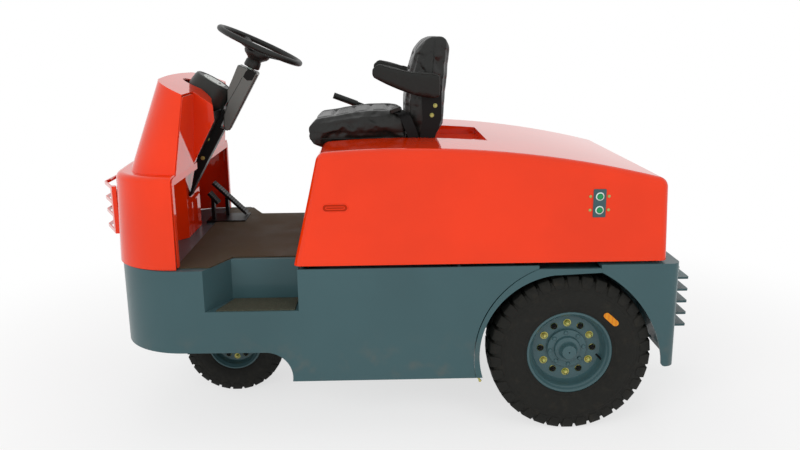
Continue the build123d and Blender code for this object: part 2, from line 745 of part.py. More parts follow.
with BuildPart() as pin:
    with BuildSketch(Plane.XY.offset(hitch_low - 14)):
        with Locations((PIN_X, 0)):
            Circle(16)
    extrude(amount=hitch_high - hitch_low + 14)
    with BuildSketch(Plane.XY.offset(hitch_high)):
        with Locations((PIN_X, 0)):
            Circle(26)
    extrude(amount=8)
    with BuildSketch(Plane.XY.offset(hitch_high + 8)):
        with Locations((PIN_X, 0)):
            Circle(10)
    extrude(amount=26)
    with BuildSketch(Plane.XZ.offset(-55)):
        with Locations((PIN_X, hitch_high + 40)):
            Circle(9)
    extrude(amount=110)
save(pin, "tow_pin")

# Hood: one moulded shell over battery and drive, with a pocket for the seat
POCKET_FLOOR_Z = 1140


def hood_block(inset):
    """Solid hood form, drawn in by inset all round; its top is one long arc."""
    foot = HOOD_Z if inset == 0 else HOOD_Z - 20
    half = HOOD_HALF_W - inset
    with BuildPart() as block:
        with BuildSketch(Plane.XZ.offset(-half)):
            with BuildLine():
                Line((470 - inset, foot), (404 - inset, 1000))
                Line((404 - inset, 1000), (364 - inset, 1172 - inset))
                ThreePointArc((364 - inset, 1172 - inset), (-320, 1170 - inset), (-1002 + inset, 1052 - inset))
                Line((-1002 + inset, 1052 - inset), (-1014 + inset, foot))
                Line((-1014 + inset, foot), (470 - inset, foot))
            side = make_face()
            fillet(side.vertices().filter_by(lambda v: v.Y > 1020), HOOD_CORNER_R - inset)
        extrude(amount=2 * half)
        rim = block.edges().filter_by(lambda e: abs(abs(e.center().Y) - half) < 1 and e.center().Z > foot + 5)
        fillet(rim, HOOD_EDGE_R - inset)
    return block


# floor and walls of the seat pocket, which is open at the front
with BuildPart() as seat_tub:
    with BuildSketch(Plane.XY.offset(POCKET_FLOOR_Z - HOOD_SKIN)):
        with Locations(((500 + POCKET_REAR_X - HOOD_SKIN) / 2, 0)):
            Rectangle(500 - POCKET_REAR_X + HOOD_SKIN, 2 * (POCKET_HALF_W + HOOD_SKIN))
    extrude(amount=60)
    add(hood_block(0).part, mode=Mode.INTERSECT)

with BuildPart() as hood:
    add(hood_block(0).part)
    add(hood_block(HOOD_SKIN).part, mode=Mode.SUBTRACT)
    add(seat_tub.part)
    with BuildSketch(Plane.XY.offset(POCKET_FLOOR_Z)):
        with Locations(((500 + POCKET_REAR_X) / 2, 0)):
            Rectangle(500 - POCKET_REAR_X, 2 * POCKET_HALF_W)
    extrude(amount=100, mode=Mode.SUBTRACT)
save(hood, "hood")

# Hinges at the tail: fixed ears on the top plate, knuckles on the hood, one pin each
HINGE_Y = [330, -330]
with BuildPart() as hinge_ears:
    for y in HINGE_Y:
        for dy in (-26, 18):
            with BuildSketch(Plane.XZ.offset(-y - dy - 8)):
                with Locations((HINGE_X, HINGE_Z)):
                    Circle(11)
                with Locations((HINGE_X, (HINGE_Z + DECK_Z) / 2)):
                    Rectangle(22, HINGE_Z - DECK_Z)
            extrude(amount=8)
        with BuildSketch(Plane.XZ.offset(-y - 26)):
            with Locations((HINGE_X, HINGE_Z)):
                Circle(5)
        extrude(amount=52)
save(hinge_ears, "hinge_ears")
with BuildPart() as hood_hinges:
    for y in HINGE_Y:
        with BuildSketch(Plane.XZ.offset(-y - 17)):
            with Locations((HINGE_X, HINGE_Z)):
                Circle(11)
            with Locations(((HINGE_X - 1013.9) / 2, HINGE_Z + 8)):
                Rectangle(-1013.9 - HINGE_X, 6)
            with BuildLine():
                Polyline((-1018, 745), (-1013.9, 745), (-1011.9, 800), (-1016, 800), close=True)
            make_face()
            with Locations((HINGE_X, HINGE_Z)):
                Circle(5.3, mode=Mode.SUBTRACT)
        extrude(amount=34)
save(hood_hinges, "hood_hinges")

# Seat: rails, pan, cushion, backrest, side brackets and folding armrests
RAIL_TOP = POCKET_FLOOR_Z + 12
with BuildPart() as seat_rails:
    with BuildSketch(Plane.XY.offset(POCKET_FLOOR_Z)):
        with Locations((100, 150), (100, -150)):
            Rectangle(400, 30)
    extrude(amount=12)
save(seat_rails, "seat_rails")
PAN_Z = RAIL_TOP + 0.4
with BuildPart() as seat_pan:
    with BuildSketch(Plane.XY.offset(PAN_Z)):
        with Locations((140, 0)):
            Rectangle(480, 400)
    extrude(amount=8)
    for y in (-238, 230):
        with BuildSketch(Plane.XZ.offset(-y - 8)):
            with BuildLine():
                Polyline(
                    (-40, PAN_Z), (-100, PAN_Z), (-138, 1260), (-140, 1400), (-118, 1420), (-66, 1420),
                    (-52, 1390), (-60, 1260), close=True,
                )
            make_face()
        extrude(amount=8)
        with BuildSketch(Plane.XY.offset(PAN_Z)):
            with Locations((-70, y * 0.9)):
                Rectangle(58, 50)
        extrude(amount=8)
save(seat_pan, "seat_pan")
with BuildPart() as cushion:
    with BuildSketch(Plane.XZ.offset(-240)):
        with BuildLine():
            Polyline(
                (15, PAN_Z + 8), (420, PAN_Z + 8), (430, 1175), (432, 1236), (408, 1266), (300, 1290),
                (180, 1296), (15, 1282), close=True,
            )
        make_face()
    extrude(amount=480)
save(cushion, "seat_cushion")
with BuildPart() as backrest:
    with BuildSketch(Plane.XZ.offset(-225)):
        with BuildLine():
            Polyline(
                (10, PAN_Z + 8), (10, 1330), (-20, 1450), (-62, 1590), (-96, 1619), (-145, 1612), (-160, 1590),
                (-140, 1412), (-133, 1216), (-100, PAN_Z + 8), close=True,
            )
        make_face()
    extrude(amount=450)
save(backrest, "seat_backrest")
ARM_PIVOT = (-92, 1385)
for side, name in ((1, "left"), (-1, "right")):
    with BuildPart() as armrest:
        with BuildSketch(Plane.XZ.offset(-308 if side > 0 else 244)):
            with BuildLine():
                Polyline(
                    (154, 1456), (140, 1494), (60, 1486), (-60, 1462), (-128, 1430), (-134, 1385), (-112, 1340),
                    (-60, 1338), (6, 1363), (90, 1418), (140, 1432), close=True,
                )
            make_face()
        extrude(amount=64)
    save(armrest, f"armrest_{name}")
with BuildPart() as armrest_pins:
    for y in (-243.6, 238):
        with BuildSketch(Plane.XZ.offset(-y - 5.6)):
            with Locations(ARM_PIVOT):
                Circle(14)
        extrude(amount=5.6)
save(armrest_pins, "armrest_pins")

# Lamp plate on the hood's left side and the lever beside the seat
with BuildPart() as lamp_plate:
    with BuildSketch(Plane.XZ.offset(-HOOD_HALF_W - 3)):
        with Locations((-729, 964)):
            Rectangle(62, 112)
    extrude(amount=3)
    with BuildSketch(Plane.XZ.offset(-HOOD_HALF_W - 9)):
        with Locations((-729, 990), (-729, 938)):
            Circle(17)
    extrude(amount=6)
save(lamp_plate, "lamp_plate")
LEVER_FOOT = (0, -300, 1195)
with BuildPart() as seat_lever:
    lever_run = Vector(346, -300, 1326) - Vector(*LEVER_FOOT)
    lever_plane = Plane(origin=LEVER_FOOT, x_dir=(0, 1, 0), z_dir=lever_run.normalized())
    with BuildSketch(lever_plane):
        RectangleRounded(10, 24, 4)
    extrude(amount=lever_run.length - 110)
    with BuildSketch(lever_plane.offset(lever_run.length - 120)):
        Circle(15)
    extrude(amount=120)
    with BuildSketch(Plane.XY.offset(1160)):
        with Locations((10, -300)):
            Rectangle(90, 30)
    extrude(amount=46)
    add(hood_block(-0.01).part, mode=Mode.SUBTRACT)
save(seat_lever, "hand_lever")
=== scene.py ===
"""Finishes and fine pieces of an electric tow tractor, laid out as an add-on and run as a script."""

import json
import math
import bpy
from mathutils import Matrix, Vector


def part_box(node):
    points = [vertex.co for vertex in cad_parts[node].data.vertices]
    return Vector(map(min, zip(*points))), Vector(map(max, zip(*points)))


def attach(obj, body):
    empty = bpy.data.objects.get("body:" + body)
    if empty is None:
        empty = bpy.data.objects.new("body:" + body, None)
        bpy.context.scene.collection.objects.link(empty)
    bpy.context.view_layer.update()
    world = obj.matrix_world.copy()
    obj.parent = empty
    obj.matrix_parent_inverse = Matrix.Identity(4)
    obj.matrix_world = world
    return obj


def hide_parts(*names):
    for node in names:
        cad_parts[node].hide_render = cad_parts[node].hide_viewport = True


bl_info = {
    "name": "Electric Tow Tractor",
    "version": (1, 0, 0),
    "blender": (4, 5, 0),
    "location": "View3D > Sidebar > Tow Tractor",
    "description": "Paint, tyres, seat, controls and small fittings around the tractor's packed frame",
    "category": "Object",
}

import bmesh
import bpy
from bpy.props import FloatProperty, FloatVectorProperty, IntProperty, PointerProperty
from mathutils import Matrix, Vector, noise
from mathutils.bvhtree import BVHTree

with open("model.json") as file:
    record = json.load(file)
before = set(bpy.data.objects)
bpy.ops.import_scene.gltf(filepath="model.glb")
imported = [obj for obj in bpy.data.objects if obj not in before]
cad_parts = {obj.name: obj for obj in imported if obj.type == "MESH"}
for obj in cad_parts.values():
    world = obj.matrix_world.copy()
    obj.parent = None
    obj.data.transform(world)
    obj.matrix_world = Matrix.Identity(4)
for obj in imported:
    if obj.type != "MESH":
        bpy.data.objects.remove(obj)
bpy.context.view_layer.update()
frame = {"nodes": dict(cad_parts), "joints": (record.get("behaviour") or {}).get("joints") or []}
nodes = frame["nodes"]
joints = {joint["name"]: joint for joint in frame["joints"]}

SIDES = (("left", 1), ("right", -1))
FULL_TURN = 2 * math.pi
WHEEL_MIDDLE = Vector(joints["steering_wheel_turn"]["pos_m"])
COLUMN_UP = Vector(joints["steering_wheel_turn"]["axis"]).normalized()


def shade(name, words, value):
    """A colour that a user would change."""
    return FloatVectorProperty(
        name=name, description=words, subtype="COLOR", size=3, min=0, max=1, default=value
    )


def length(name, words, value):
    """A length in metres that a user would change."""
    return FloatProperty(name=name, description=words, unit="LENGTH", min=0, default=value)


class TractorPaint(bpy.types.PropertyGroup):
    """Colours of the tractor's finishes."""

    hood: shade("Hood", "Gloss paint of hood and cowl", (0.80, 0.036, 0.002))
    hull: shade("Hull", "Gloss enamel of hull and wheels", (0.044, 0.094, 0.104))
    tyre: shade("Tyre", "Black rubber of the tyres", (0.0105, 0.0105, 0.0090))
    mat: shade("Mat", "Ribbed rubber of the floor mat", (0.058, 0.044, 0.027))
    vinyl: shade("Vinyl", "Leatherette of the seat", (0.0060, 0.0065, 0.0057))
    moulding: shade("Moulding", "Dark grey plastic of pod and column", (0.017, 0.019, 0.017))
    black: shade("Black", "Black paint of brackets and pedals", (0.006, 0.006, 0.006))
    zinc: shade("Zinc", "Yellow passivated nuts and bolts", (0.52, 0.43, 0.15))
    steel: shade("Steel", "Bare steel", (0.42, 0.42, 0.42))
    lens: shade("Lens", "Green lamp lens", (0.004, 0.27, 0.085))


class TractorSizes(bpy.types.PropertyGroup):
    """Sizes of the fine pieces."""

    edge: length("Edge", "Rounding of cut plate edges", 0.0018)
    lug_height: length("Lug height", "Depth of the tread", 0.015)
    rear_lugs: IntProperty(name="Rear lugs", description="Lugs on a side of a rear tyre", default=34)
    front_lugs: IntProperty(name="Front lugs", description="Lugs on a side of a front tyre", default=26)
    rear_studs: length("Rear studs", "Radius of the rear wheel's ring of nuts", 0.1085)
    front_studs: length("Front studs", "Radius of the front wheel's ring of nuts", 0.078)
    nut: length("Nut", "Size across a wheel nut's corners", 0.026)
    welt: length("Welt", "Thickness of the seat's piping", 0.0045)
    voxel: length("Voxel", "Grid of the padded pieces before they are puffed", 0.006)


class TractorStage(bpy.types.PropertyGroup):
    """Camera, lamps and floor."""

    place: FloatVectorProperty(
        name="Camera place",
        description="Where the camera stands",
        unit="LENGTH",
        size=3,
        default=(0.1062, 3.5964, 1.6113),
    )
    yaw: FloatProperty(name="Yaw", description="Camera's turn", unit="ROTATION", default=-0.01925)
    pitch: FloatProperty(name="Pitch", description="Camera's dip", unit="ROTATION", default=0.23597)
    roll: FloatProperty(name="Roll", description="Camera's lean", unit="ROTATION", default=-0.0107)
    lens: FloatProperty(name="Lens", description="Focal length in mm", unit="CAMERA", default=35.71)
    sky: FloatProperty(name="Sky", description="Light from all round", min=0, default=0.47)
    key: FloatProperty(name="Key", description="Power of the main lamp", unit="POWER", default=118)


class Value:
    """A shader socket on which sums and products in Python add Math nodes."""

    def __init__(self, finish, socket):
        self.finish = finish
        self.socket = socket

    def math(self, operation, *terms):
        return self.finish.node("ShaderNodeMath", {"operation": operation}, dict(enumerate(terms)))

    def __add__(self, other):
        return self.math("ADD", self, other)

    def __sub__(self, other):
        return self.math("SUBTRACT", self, other)

    def __rsub__(self, other):
        return self.math("SUBTRACT", other, self)

    def __mul__(self, other):
        return self.math("MULTIPLY", self, other)

    def sine(self):
        return self.math("SINE", self)

    def top(self, other):
        return self.math("MAXIMUM", self, other)

    def step(self, low, high):
        """0 below low and 1 above high, with a smooth rise."""
        settings = {"interpolation_type": "SMOOTHSTEP"}
        return self.finish.node("ShaderNodeMapRange", settings, {0: self, 1: low, 2: high})

    __radd__ = __add__
    __rmul__ = __mul__


class Graph:
    """A node tree whose nodes all come from one method."""

    def __init__(self, tree):
        self.tree = tree

    def node(self, kind, settings=None, inputs=None, output=0):
        """Adds a node with these settings and inputs, and gives one of its outputs."""
        made = self.tree.nodes.new(kind)
        for key, value in (settings or {}).items():
            setattr(made, key, value)
        for key, value in (inputs or {}).items():
            self.join(value, made.inputs[key])
        return None if output is None else Value(self, made.outputs[output])

    def join(self, value, socket):
        if isinstance(value, Value):
            self.tree.links.new(value.socket, socket)
        elif hasattr(value, "__len__") and len(socket.default_value) == 4:
            socket.default_value = (*value, 1)
        else:
            socket.default_value = value


class Finish(Graph):
    """A material and the nodes that feed its main shader."""

    def __init__(self, name, **sockets):
        self.material = bpy.data.materials.new(name)
        self.material.use_nodes = True
        super().__init__(self.material.node_tree)
        self.shader = self.tree.nodes["Principled BSDF"]
        for socket, value in sockets.items():
            label = socket.replace("_", " ").title().replace("Ior", "IOR")
            self.shader.inputs[label].default_value = value
        self.where = self.node("ShaderNodeTexCoord", output="Object")

    def feed(self, socket, value):
        self.join(value, self.shader.inputs[socket])

    def noise(self, scale, detail=2.0, where=None, stretch=None):
        """Noise between 0 and 1, with its scale in features a metre."""
        place = where or self.where
        if stretch:
            place = self.node("ShaderNodeVectorMath", {"operation": "MULTIPLY"}, {0: place, 1: stretch})
        return self.node("ShaderNodeTexNoise", None, {"Vector": place, "Scale": scale, "Detail": detail})

    def cells(self, scale):
        """Distance to the nearest of many scattered points, for grain."""
        return self.node("ShaderNodeTexVoronoi", None, {"Vector": self.where, "Scale": scale}, "Distance")

    def axis(self, letter):
        return self.node("ShaderNodeSeparateXYZ", None, {0: self.where}, letter)

    def mix(self, factor, low, high):
        """Blends two colours."""
        return self.node("ShaderNodeMix", {"data_type": "RGBA"}, {0: factor, 6: low, 7: high}, 2)

    def bump(self, height, strength, distance):
        inputs = {"Strength": strength, "Distance": distance, "Height": height}
        self.feed("Normal", self.node("ShaderNodeBump", None, inputs))


def scaled(colour, factor):
    """A colour made darker or paler, and never past white."""
    return tuple(min(1.0, part * factor) for part in colour)


def gloss_paint(name, colour, rough, coat, shine, dust=0.0):
    """Sprayed paint: slight clouds, orange peel and, low down, a little dust."""
    finish = Finish(name, coat_weight=coat, coat_roughness=0.035, coat_ior=1.36, specular_ior_level=shine)
    clouds = finish.noise(2.2, 3)
    fine = finish.noise(55, 2)
    paint = finish.mix(clouds.step(0.3, 0.7), scaled(colour, 0.94), scaled(colour, 1.05))
    if dust:
        low = (1 - finish.axis("Z").step(0.24, 0.50)) * finish.noise(14, 5).step(0.50, 0.80) * dust
        paint = finish.mix(low, paint, (0.13, 0.12, 0.10))
        finish.feed("Roughness", rough + fine * 0.08 + low * 0.25)
    else:
        finish.feed("Roughness", rough + fine * 0.08)
    finish.feed("Base Color", paint)
    finish.bump(finish.noise(150, 1), 0.03, 0.001)
    return finish


def black_rubber(name, colour):
    """Tyre rubber: matt, a little brown where dust lies, with mould grain."""
    finish = Finish(name, specular_ior_level=0.22)
    dust = finish.noise(26, 5).step(0.50, 0.80)
    finish.feed("Base Color", finish.mix(dust * 0.4, colour, (0.030, 0.026, 0.019)))
    finish.feed("Roughness", 0.58 + finish.noise(70, 3) * 0.25)
    finish.bump(finish.noise(420, 3), 0.25, 0.0008)
    return finish


def leatherette(name, colour):
    """Seat cover: fine pebble grain, creases, and a worn sheen in patches."""
    finish = Finish(name, specular_ior_level=0.40)
    grain = finish.cells(620)
    creases = finish.noise(38, 5, stretch=(1, 1, 2.5))
    wear = finish.noise(7, 3).step(0.35, 0.7)
    finish.feed("Base Color", finish.mix(wear, colour, scaled(colour, 1.5)))
    finish.feed("Roughness", 0.36 - wear * 0.08 + grain * 0.12)
    finish.bump(grain * 0.4 + creases.step(0.35, 0.65) * 0.6, 0.22, 0.0012)
    return finish


def grained_plastic(name, colour, rough=0.42, grain=480):
    """Moulded plastic with a leather-like grain and faint flow clouds."""
    finish = Finish(name, specular_ior_level=0.34)
    clouds = finish.noise(6, 2)
    finish.feed("Base Color", finish.mix(clouds, scaled(colour, 0.85), scaled(colour, 1.2)))
    finish.feed("Roughness", rough + finish.noise(90, 2) * 0.12)
    finish.bump(finish.cells(grain), 0.16, 0.0006)
    return finish


def plated(name, colour, rough):
    """Plated or bare metal with drifting tint and fine scratches."""
    finish = Finish(name, metallic=1.0)
    drift = finish.noise(130, 3)
    tint = (colour[0] * 0.75, colour[1] * 1.02, colour[2] * 0.9)
    finish.feed("Base Color", finish.mix(drift.step(0.35, 0.65), colour, tint))
    finish.feed("Roughness", rough + drift * 0.2)
    finish.bump(finish.noise(900, 2, stretch=(1, 1, 6)), 0.08, 0.0003)
    return finish


def ribbed_mat(name, colour, pitch):
    """Rubber matting with two crossing sets of fine diagonal ribs, the grooves between them painted darker as
    shade.
    """
    finish = Finish(name, specular_ior_level=0.12)
    along, across = finish.axis("X"), finish.axis("Y")
    turns = FULL_TURN / pitch
    one = ((along + across * 0.6) * turns).sine()
    two = ((along - across * 0.6) * turns).sine()
    ribs = (one.top(two) * 0.5 + 0.5).step(0.35, 0.9)
    worn = finish.noise(5, 4).step(0.35, 0.7)
    # grooves darker and rib tops paler: painted shade of the relief
    base = finish.mix(ribs, scaled(colour, 0.45), scaled(colour, 1.25))
    finish.feed("Base Color", finish.mix(worn * 0.35, base, scaled(colour, 1.5)))
    finish.feed("Roughness", 0.62 + worn * 0.2)
    finish.bump(ribs, 0.6, 0.0015)
    return finish


def grit_mat(name, colour):
    """Step cover of black grit."""
    finish = Finish(name, specular_ior_level=0.15)
    grit = finish.noise(520, 2)
    finish.feed("Base Color", finish.mix(grit.step(0.5, 0.7), scaled(colour, 0.6), scaled(colour, 1.7)))
    finish.feed("Roughness", 0.55 + grit * 0.3)
    finish.bump(grit, 0.8, 0.001)
    return finish


def display_face(name, colour, cloud):
    """Pale gauge face behind a clear cover, slightly clouded."""
    finish = Finish(name, coat_weight=0.5, coat_roughness=0.2, coat_ior=1.3, specular_ior_level=0.2)
    finish.feed("Base Color", finish.mix(finish.noise(40, 2), cloud, colour))
    finish.feed("Roughness", 0.3 + finish.noise(200, 2) * 0.1)
    finish.bump(finish.noise(500, 1), 0.02, 0.0004)
    return finish


def clear_lens(name, colour, ribs):
    """Lamp lens: coloured bowl under upright ribs."""
    finish = Finish(name, coat_weight=0.4, coat_roughness=0.05, coat_ior=1.35, specular_ior_level=0.2)
    rows = (finish.axis("Y") * (FULL_TURN / ribs)).sine() * 0.5 + 0.5
    finish.feed("Base Color", finish.mix(rows, scaled(colour, 0.6), colour))
    finish.feed("Roughness", 0.16 + finish.noise(60, 2) * 0.1)
    finish.bump(rows, 0.4, 0.0015)
    return finish


def sticker_film(name, colour, band):
    """Printed film: plain orange with darker bands."""
    finish = Finish(name, coat_weight=0.15, coat_roughness=0.2, specular_ior_level=0.2)
    wave = (finish.axis("X") * 420 + finish.noise(60, 2) * 1.5).sine().step(0.2, 0.6)
    finish.feed("Base Color", finish.mix(wave * 0.35, colour, band))
    finish.feed("Roughness", 0.4 + finish.noise(80, 2) * 0.15)
    return finish


# Finish: its maker, a paint setting or a colour, the share of that colour, and the maker's other figures
FINISHES = {
    "hood_red": (gloss_paint, "hood", 1, 0.30, 1.0, 0.0),
    # Darker red of the grip pockets: painted shade of a recess
    "hollow_red": (gloss_paint, "hood", 0.5, 0.35, 0.3, 0.0),
    "hull_grey": (gloss_paint, "hull", 1, 0.36, 0.25, 0.2, 0.5),
    # Weld beads: glossier hull enamel, which is real, made 1.6 times paler as a painted highlight
    "bead_grey": (gloss_paint, "hull", 1.6, 0.18, 1.0, 0.6),
    "wheel_grey": (gloss_paint, "hull", 1, 0.28, 0.5, 0.25),
    "tyre_rubber": (black_rubber, "tyre", 1),
    "vinyl": (leatherette, "vinyl", 1),
    "arm_skin": (grained_plastic, "vinyl", 1.3, 0.55, 260),
    "moulding": (grained_plastic, "moulding", 1, 0.34),
    "column_shell": (grained_plastic, (0.115, 0.120, 0.112), 1, 0.30),
    "wheel_grip": (grained_plastic, "moulding", 0.55, 0.38),
    "black_paint": (gloss_paint, "black", 1, 0.42, 0.1, 0.12),
    "casting": (gloss_paint, (0.035, 0.05, 0.055), 1, 0.5, 0.1, 0.3, 0.7),
    "battery_case": (grained_plastic, (0.10, 0.10, 0.11), 1, 0.5, 200),
    "mat": (ribbed_mat, "mat", 1, 0.0075),
    "grit": (grit_mat, (0.075, 0.078, 0.055), 1),
    "zinc": (plated, "zinc", 1, 0.26),
    "steel": (plated, "steel", 1, 0.3),
    "chrome": (plated, (0.78, 0.78, 0.78), 1, 0.08),
    "display": (display_face, (0.40, 0.43, 0.39), 1, (0.30, 0.33, 0.30)),
    "lamp_lens": (clear_lens, (0.62, 0.66, 0.62), 1, 0.012),
    "green_lens": (clear_lens, "lens", 1, 0.006),
    "sticker": (sticker_film, (0.66, 0.25, 0.010), 1, (0.55, 0.06, 0.010)),
}
made_finishes = {}


def finish_of(name):
    """The material of that name, made on first use from the paint settings."""
    if name not in made_finishes:
        maker, colour, share, *figures = FINISHES[name]
        if isinstance(colour, str):
            colour = getattr(bpy.context.scene.tractor_paint, colour)
        made_finishes[name] = maker(name, scaled(colour, share), *figures)
    return made_finishes[name].material


def stand(origin, axis, lean=(1, 0, 0)):
    """Matrix whose Z runs along axis from origin and whose X leans to lean."""
    z = Vector(axis).normalized()
    x = Vector(lean)
    x = (x - z * x.dot(z)).normalized()
    made = Matrix((x, z.cross(x), z)).transposed().to_4x4()
    made.translation = Vector(origin)
    return made


def polar(radius, angle, height=0.0):
    """The point at an angle on a circle about Z."""
    return Vector((radius * math.cos(angle), radius * math.sin(angle), height))


def circles(place, section, steps, turn=0.0):
    """Rings of points from a section of (radius, height) pairs turned about the place's Z."""
    angles = [turn + FULL_TURN * step / steps for step in range(steps)]
    return [[place @ polar(radius, angle, height) for angle in angles] for radius, height in section]


def strip(bm, stations, closed=False):
    """Adds a loft through stations, each the same number of points; open ends are capped."""
    loops = [[bm.verts.new(spot) for spot in station] for station in stations]
    count = len(loops[0])
    pairs = list(zip(loops, loops[1:]))
    if closed:
        pairs.append((loops[-1], loops[0]))
    for low, high in pairs:
        for step in range(count):
            after = (step + 1) % count
            bm.faces.new((low[step], low[after], high[after], high[step]))
    if not closed:
        bm.faces.new(tuple(reversed(loops[0])))
        bm.faces.new(tuple(loops[-1]))


def turned(bm, place, rings, sides, turn=0.0):
    """Adds a turned solid from its rings, from one flat end to the other; six sides make a hexagon."""
    strip(bm, circles(place, rings, sides, turn))


def lathe(bm, place, section, steps):
    """Adds a closed ring from a section that goes all round."""
    strip(bm, circles(place, section, steps), closed=True)


def run(bm, points, radius, sides=8, closed=False, up=(0, 0, 1)):
    """Adds a round tube along points."""
    stations = []
    count = len(points)
    for step, point in enumerate(points):
        before = points[step - 1] if closed or step else point
        after = points[(step + 1) % count] if closed or step < count - 1 else point
        ahead = (Vector(after) - Vector(before)).normalized()
        side = ahead.cross(Vector(up))
        side = side.normalized() if side.length > 1e-4 else ahead.orthogonal().normalized()
        rise = side.cross(ahead)
        stations.append(
            [
                Vector(point) + radius * (side * math.cos(a) + rise * math.sin(a))
                for a in (FULL_TURN * k / sides for k in range(sides))
            ]
        )
    strip(bm, stations, closed)


def plate(bm, place, outline, low, high):
    """Adds a flat plate from an outline in the place's XY plane, between two heights."""
    strip(bm, [[place @ Vector((x, y, z)) for x, y in outline] for z in (low, high)])


def rounded(width, height, radius, steps=4):
    """Outline of a rectangle with round corners, about the origin."""
    outline = []
    for across, up, quarter in ((1, 1, 0), (-1, 1, 1), (-1, -1, 2), (1, -1, 3)):
        corner = Vector((across * (width / 2 - radius), up * (height / 2 - radius), 0))
        for step in range(steps + 1):
            spot = corner + polar(radius, (quarter + step / steps) * math.pi / 2)
            outline.append((spot.x, spot.y))
    return outline


def soften(made, width, segments=2, angle=30):
    """Rounds the sharp edges of a piece and keeps its flats flat."""
    bevel = made.modifiers.new("edges", "BEVEL")
    bevel.width = width
    bevel.segments = segments
    bevel.limit_method = "ANGLE"
    bevel.angle_limit = math.radians(angle)
    bevel.harden_normals = True
    bevel.use_clamp_overlap = True


def piece(name, bm, finish, body, replaces=(), sharp=35, edge=0.0):
    """Turns a bmesh into a shown piece that rides on a body."""
    bmesh.ops.recalc_face_normals(bm, faces=bm.faces)
    data = bpy.data.meshes.new(name)
    bm.to_mesh(data)
    bm.free()
    made = bpy.data.objects.new(name, data)
    bpy.context.scene.collection.objects.link(made)
    data.materials.append(finish_of(finish))
    data.polygons.foreach_set("use_smooth", [True] * len(data.polygons))
    if edge:
        soften(made, edge)
    else:
        data.set_sharp_from_angle(angle=math.radians(sharp))
    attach(made, body)
    if replaces:
        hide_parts(*replaces)
    return made


def dress(names, finish, edge=0.0):
    """Gives CAD nodes a finish and, where edge is set, rounds their cut edges."""
    for name in names:
        node = nodes[name]
        for slot in node.material_slots:
            slot.material = finish_of(finish)
        if edge:
            normals = node.data.attributes.get("custom_normal")
            if normals:
                node.data.attributes.remove(normals)
            node.data.polygons.foreach_set("use_smooth", [True] * len(node.data.polygons))
            weld = node.modifiers.new("weld", "WELD")
            weld.merge_threshold = 0.00002
            soften(node, edge)


# Wheels

# The tyre's section from bead to tread: share of that way, and share of the half width
TYRE_SECTION = [
    (0.0, 0.66), (0.0, 0.77), (0.045, 0.80), (0.075, 0.845), (0.10, 0.85), (0.125, 0.875), (0.22, 0.94),
    (0.34, 0.985), (0.46, 0.998), (0.535, 0.992), (0.548, 1.0), (0.565, 0.99), (0.60, 0.985),
    (0.612, 0.995), (0.63, 0.978), (0.72, 0.955), (0.82, 0.905), (0.885, 0.84), (0.905, 0.74),
]
# A lug from the middle outward: share of the half width, drop in lug heights, half its length in pitches
LUG_STATIONS = [
    (0.07, 0.0, 0.33), (0.45, 0.0, 0.36), (0.84, 0.22, 0.37), (0.915, 0.80, 0.37), (0.965, 2.0, 0.35),
    (0.985, 3.1, 0.30),
]
LUG_ROOT_SPREAD = 0.06
LUG_ROOT_INSET = 0.012
# Radius of the tyre for which the lug height is given
LUG_HEIGHT_RADIUS = 0.333


def tyre_frame(node):
    """Matrix at the tyre's middle with Z outward and X up, its radius and its half width."""
    low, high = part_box(node)
    middle = (low + high) / 2
    outward = (0, math.copysign(1, middle.y), 0)
    return stand(middle, outward, (0, 0, 1)), (high.z - low.z) / 2, (high.y - low.y) / 2


def build_tyre(node, body, bead, lugs):
    """Cross-ply tyre: ringed side walls and two rows of staggered shoulder lugs."""
    sizes = bpy.context.scene.tractor_sizes
    place, radius, half = tyre_frame(node)
    height = sizes.lug_height * radius / LUG_HEIGHT_RADIUS
    bm = bmesh.new()
    side = [(bead + share * (radius - bead), across * half) for share, across in TYRE_SECTION]
    lathe(bm, place, side + [(r, -z) for r, z in reversed(side)], 144)
    base = side[-1][0]
    pitch = FULL_TURN / lugs
    for row in (1, -1):
        for lug in range(lugs):
            middle = pitch * (lug + (0.5 if row < 0 else 0.0))
            stations = []
            for across, drop, width in LUG_STATIONS:
                outer = radius - 0.0004 - drop * height
                inner = min(base - 0.004, outer - 0.012)
                sunk = LUG_ROOT_INSET if drop > 1 else 0.0
                top, root = width * pitch, (width + LUG_ROOT_SPREAD) * pitch
                corners = ((outer, -top, 0.0), (outer, top, 0.0), (inner, root, sunk), (inner, -root, sunk))
                station = []
                for r, turn, inset in corners:
                    station.append(place @ polar(r, middle + turn, row * (across * half - inset)))
                stations.append(station)
            strip(bm, stations)
    piece(f"{node}_tread", bm, "tyre_rubber", body, (node,), sharp=28)


# Rear rim's closed section, metres: radius, and distance outward from the tyre's middle
REAR_RIM = [
    (0.1765, 0.060), (0.1765, 0.067), (0.1745, 0.0702), (0.171, 0.0715), (0.167, 0.0705), (0.164, 0.0665),
    (0.1605, 0.0600), (0.1575, 0.0560), (0.1545, 0.0535), (0.1515, 0.0440), (0.1490, 0.0300),
    (0.1455, 0.0160), (0.1400, 0.0100), (0.1330, 0.0092), (0.0600, 0.0090), (0.0600, 0.0010),
    (0.1360, 0.0010), (0.1360, -0.0200), (0.1440, -0.0280), (0.1500, -0.0580), (0.1600, -0.0700),
    (0.1760, -0.0700), (0.1760, -0.0640), (0.1630, -0.0620), (0.1540, -0.0540), (0.1510, -0.0280),
    (0.1430, -0.0200), (0.1430, 0.0100), (0.1510, 0.0280), (0.1545, 0.0480), (0.1640, 0.0600),
]
DISH_FACE = 0.0092
# Rear hub's front, metres: radius, and distance outward from the dish
HUB_RINGS = [
    (0.0820, 0.0000), (0.0820, 0.0205), (0.0805, 0.0230), (0.0600, 0.0232), (0.0560, 0.0245),
    (0.0545, 0.0290), (0.0520, 0.0360), (0.0420, 0.0395), (0.0385, 0.0410), (0.0325, 0.0520),
    (0.0310, 0.0640), (0.0285, 0.0690), (0.0220, 0.0712), (0.0035, 0.0718), (0.0030, 0.0660),
]
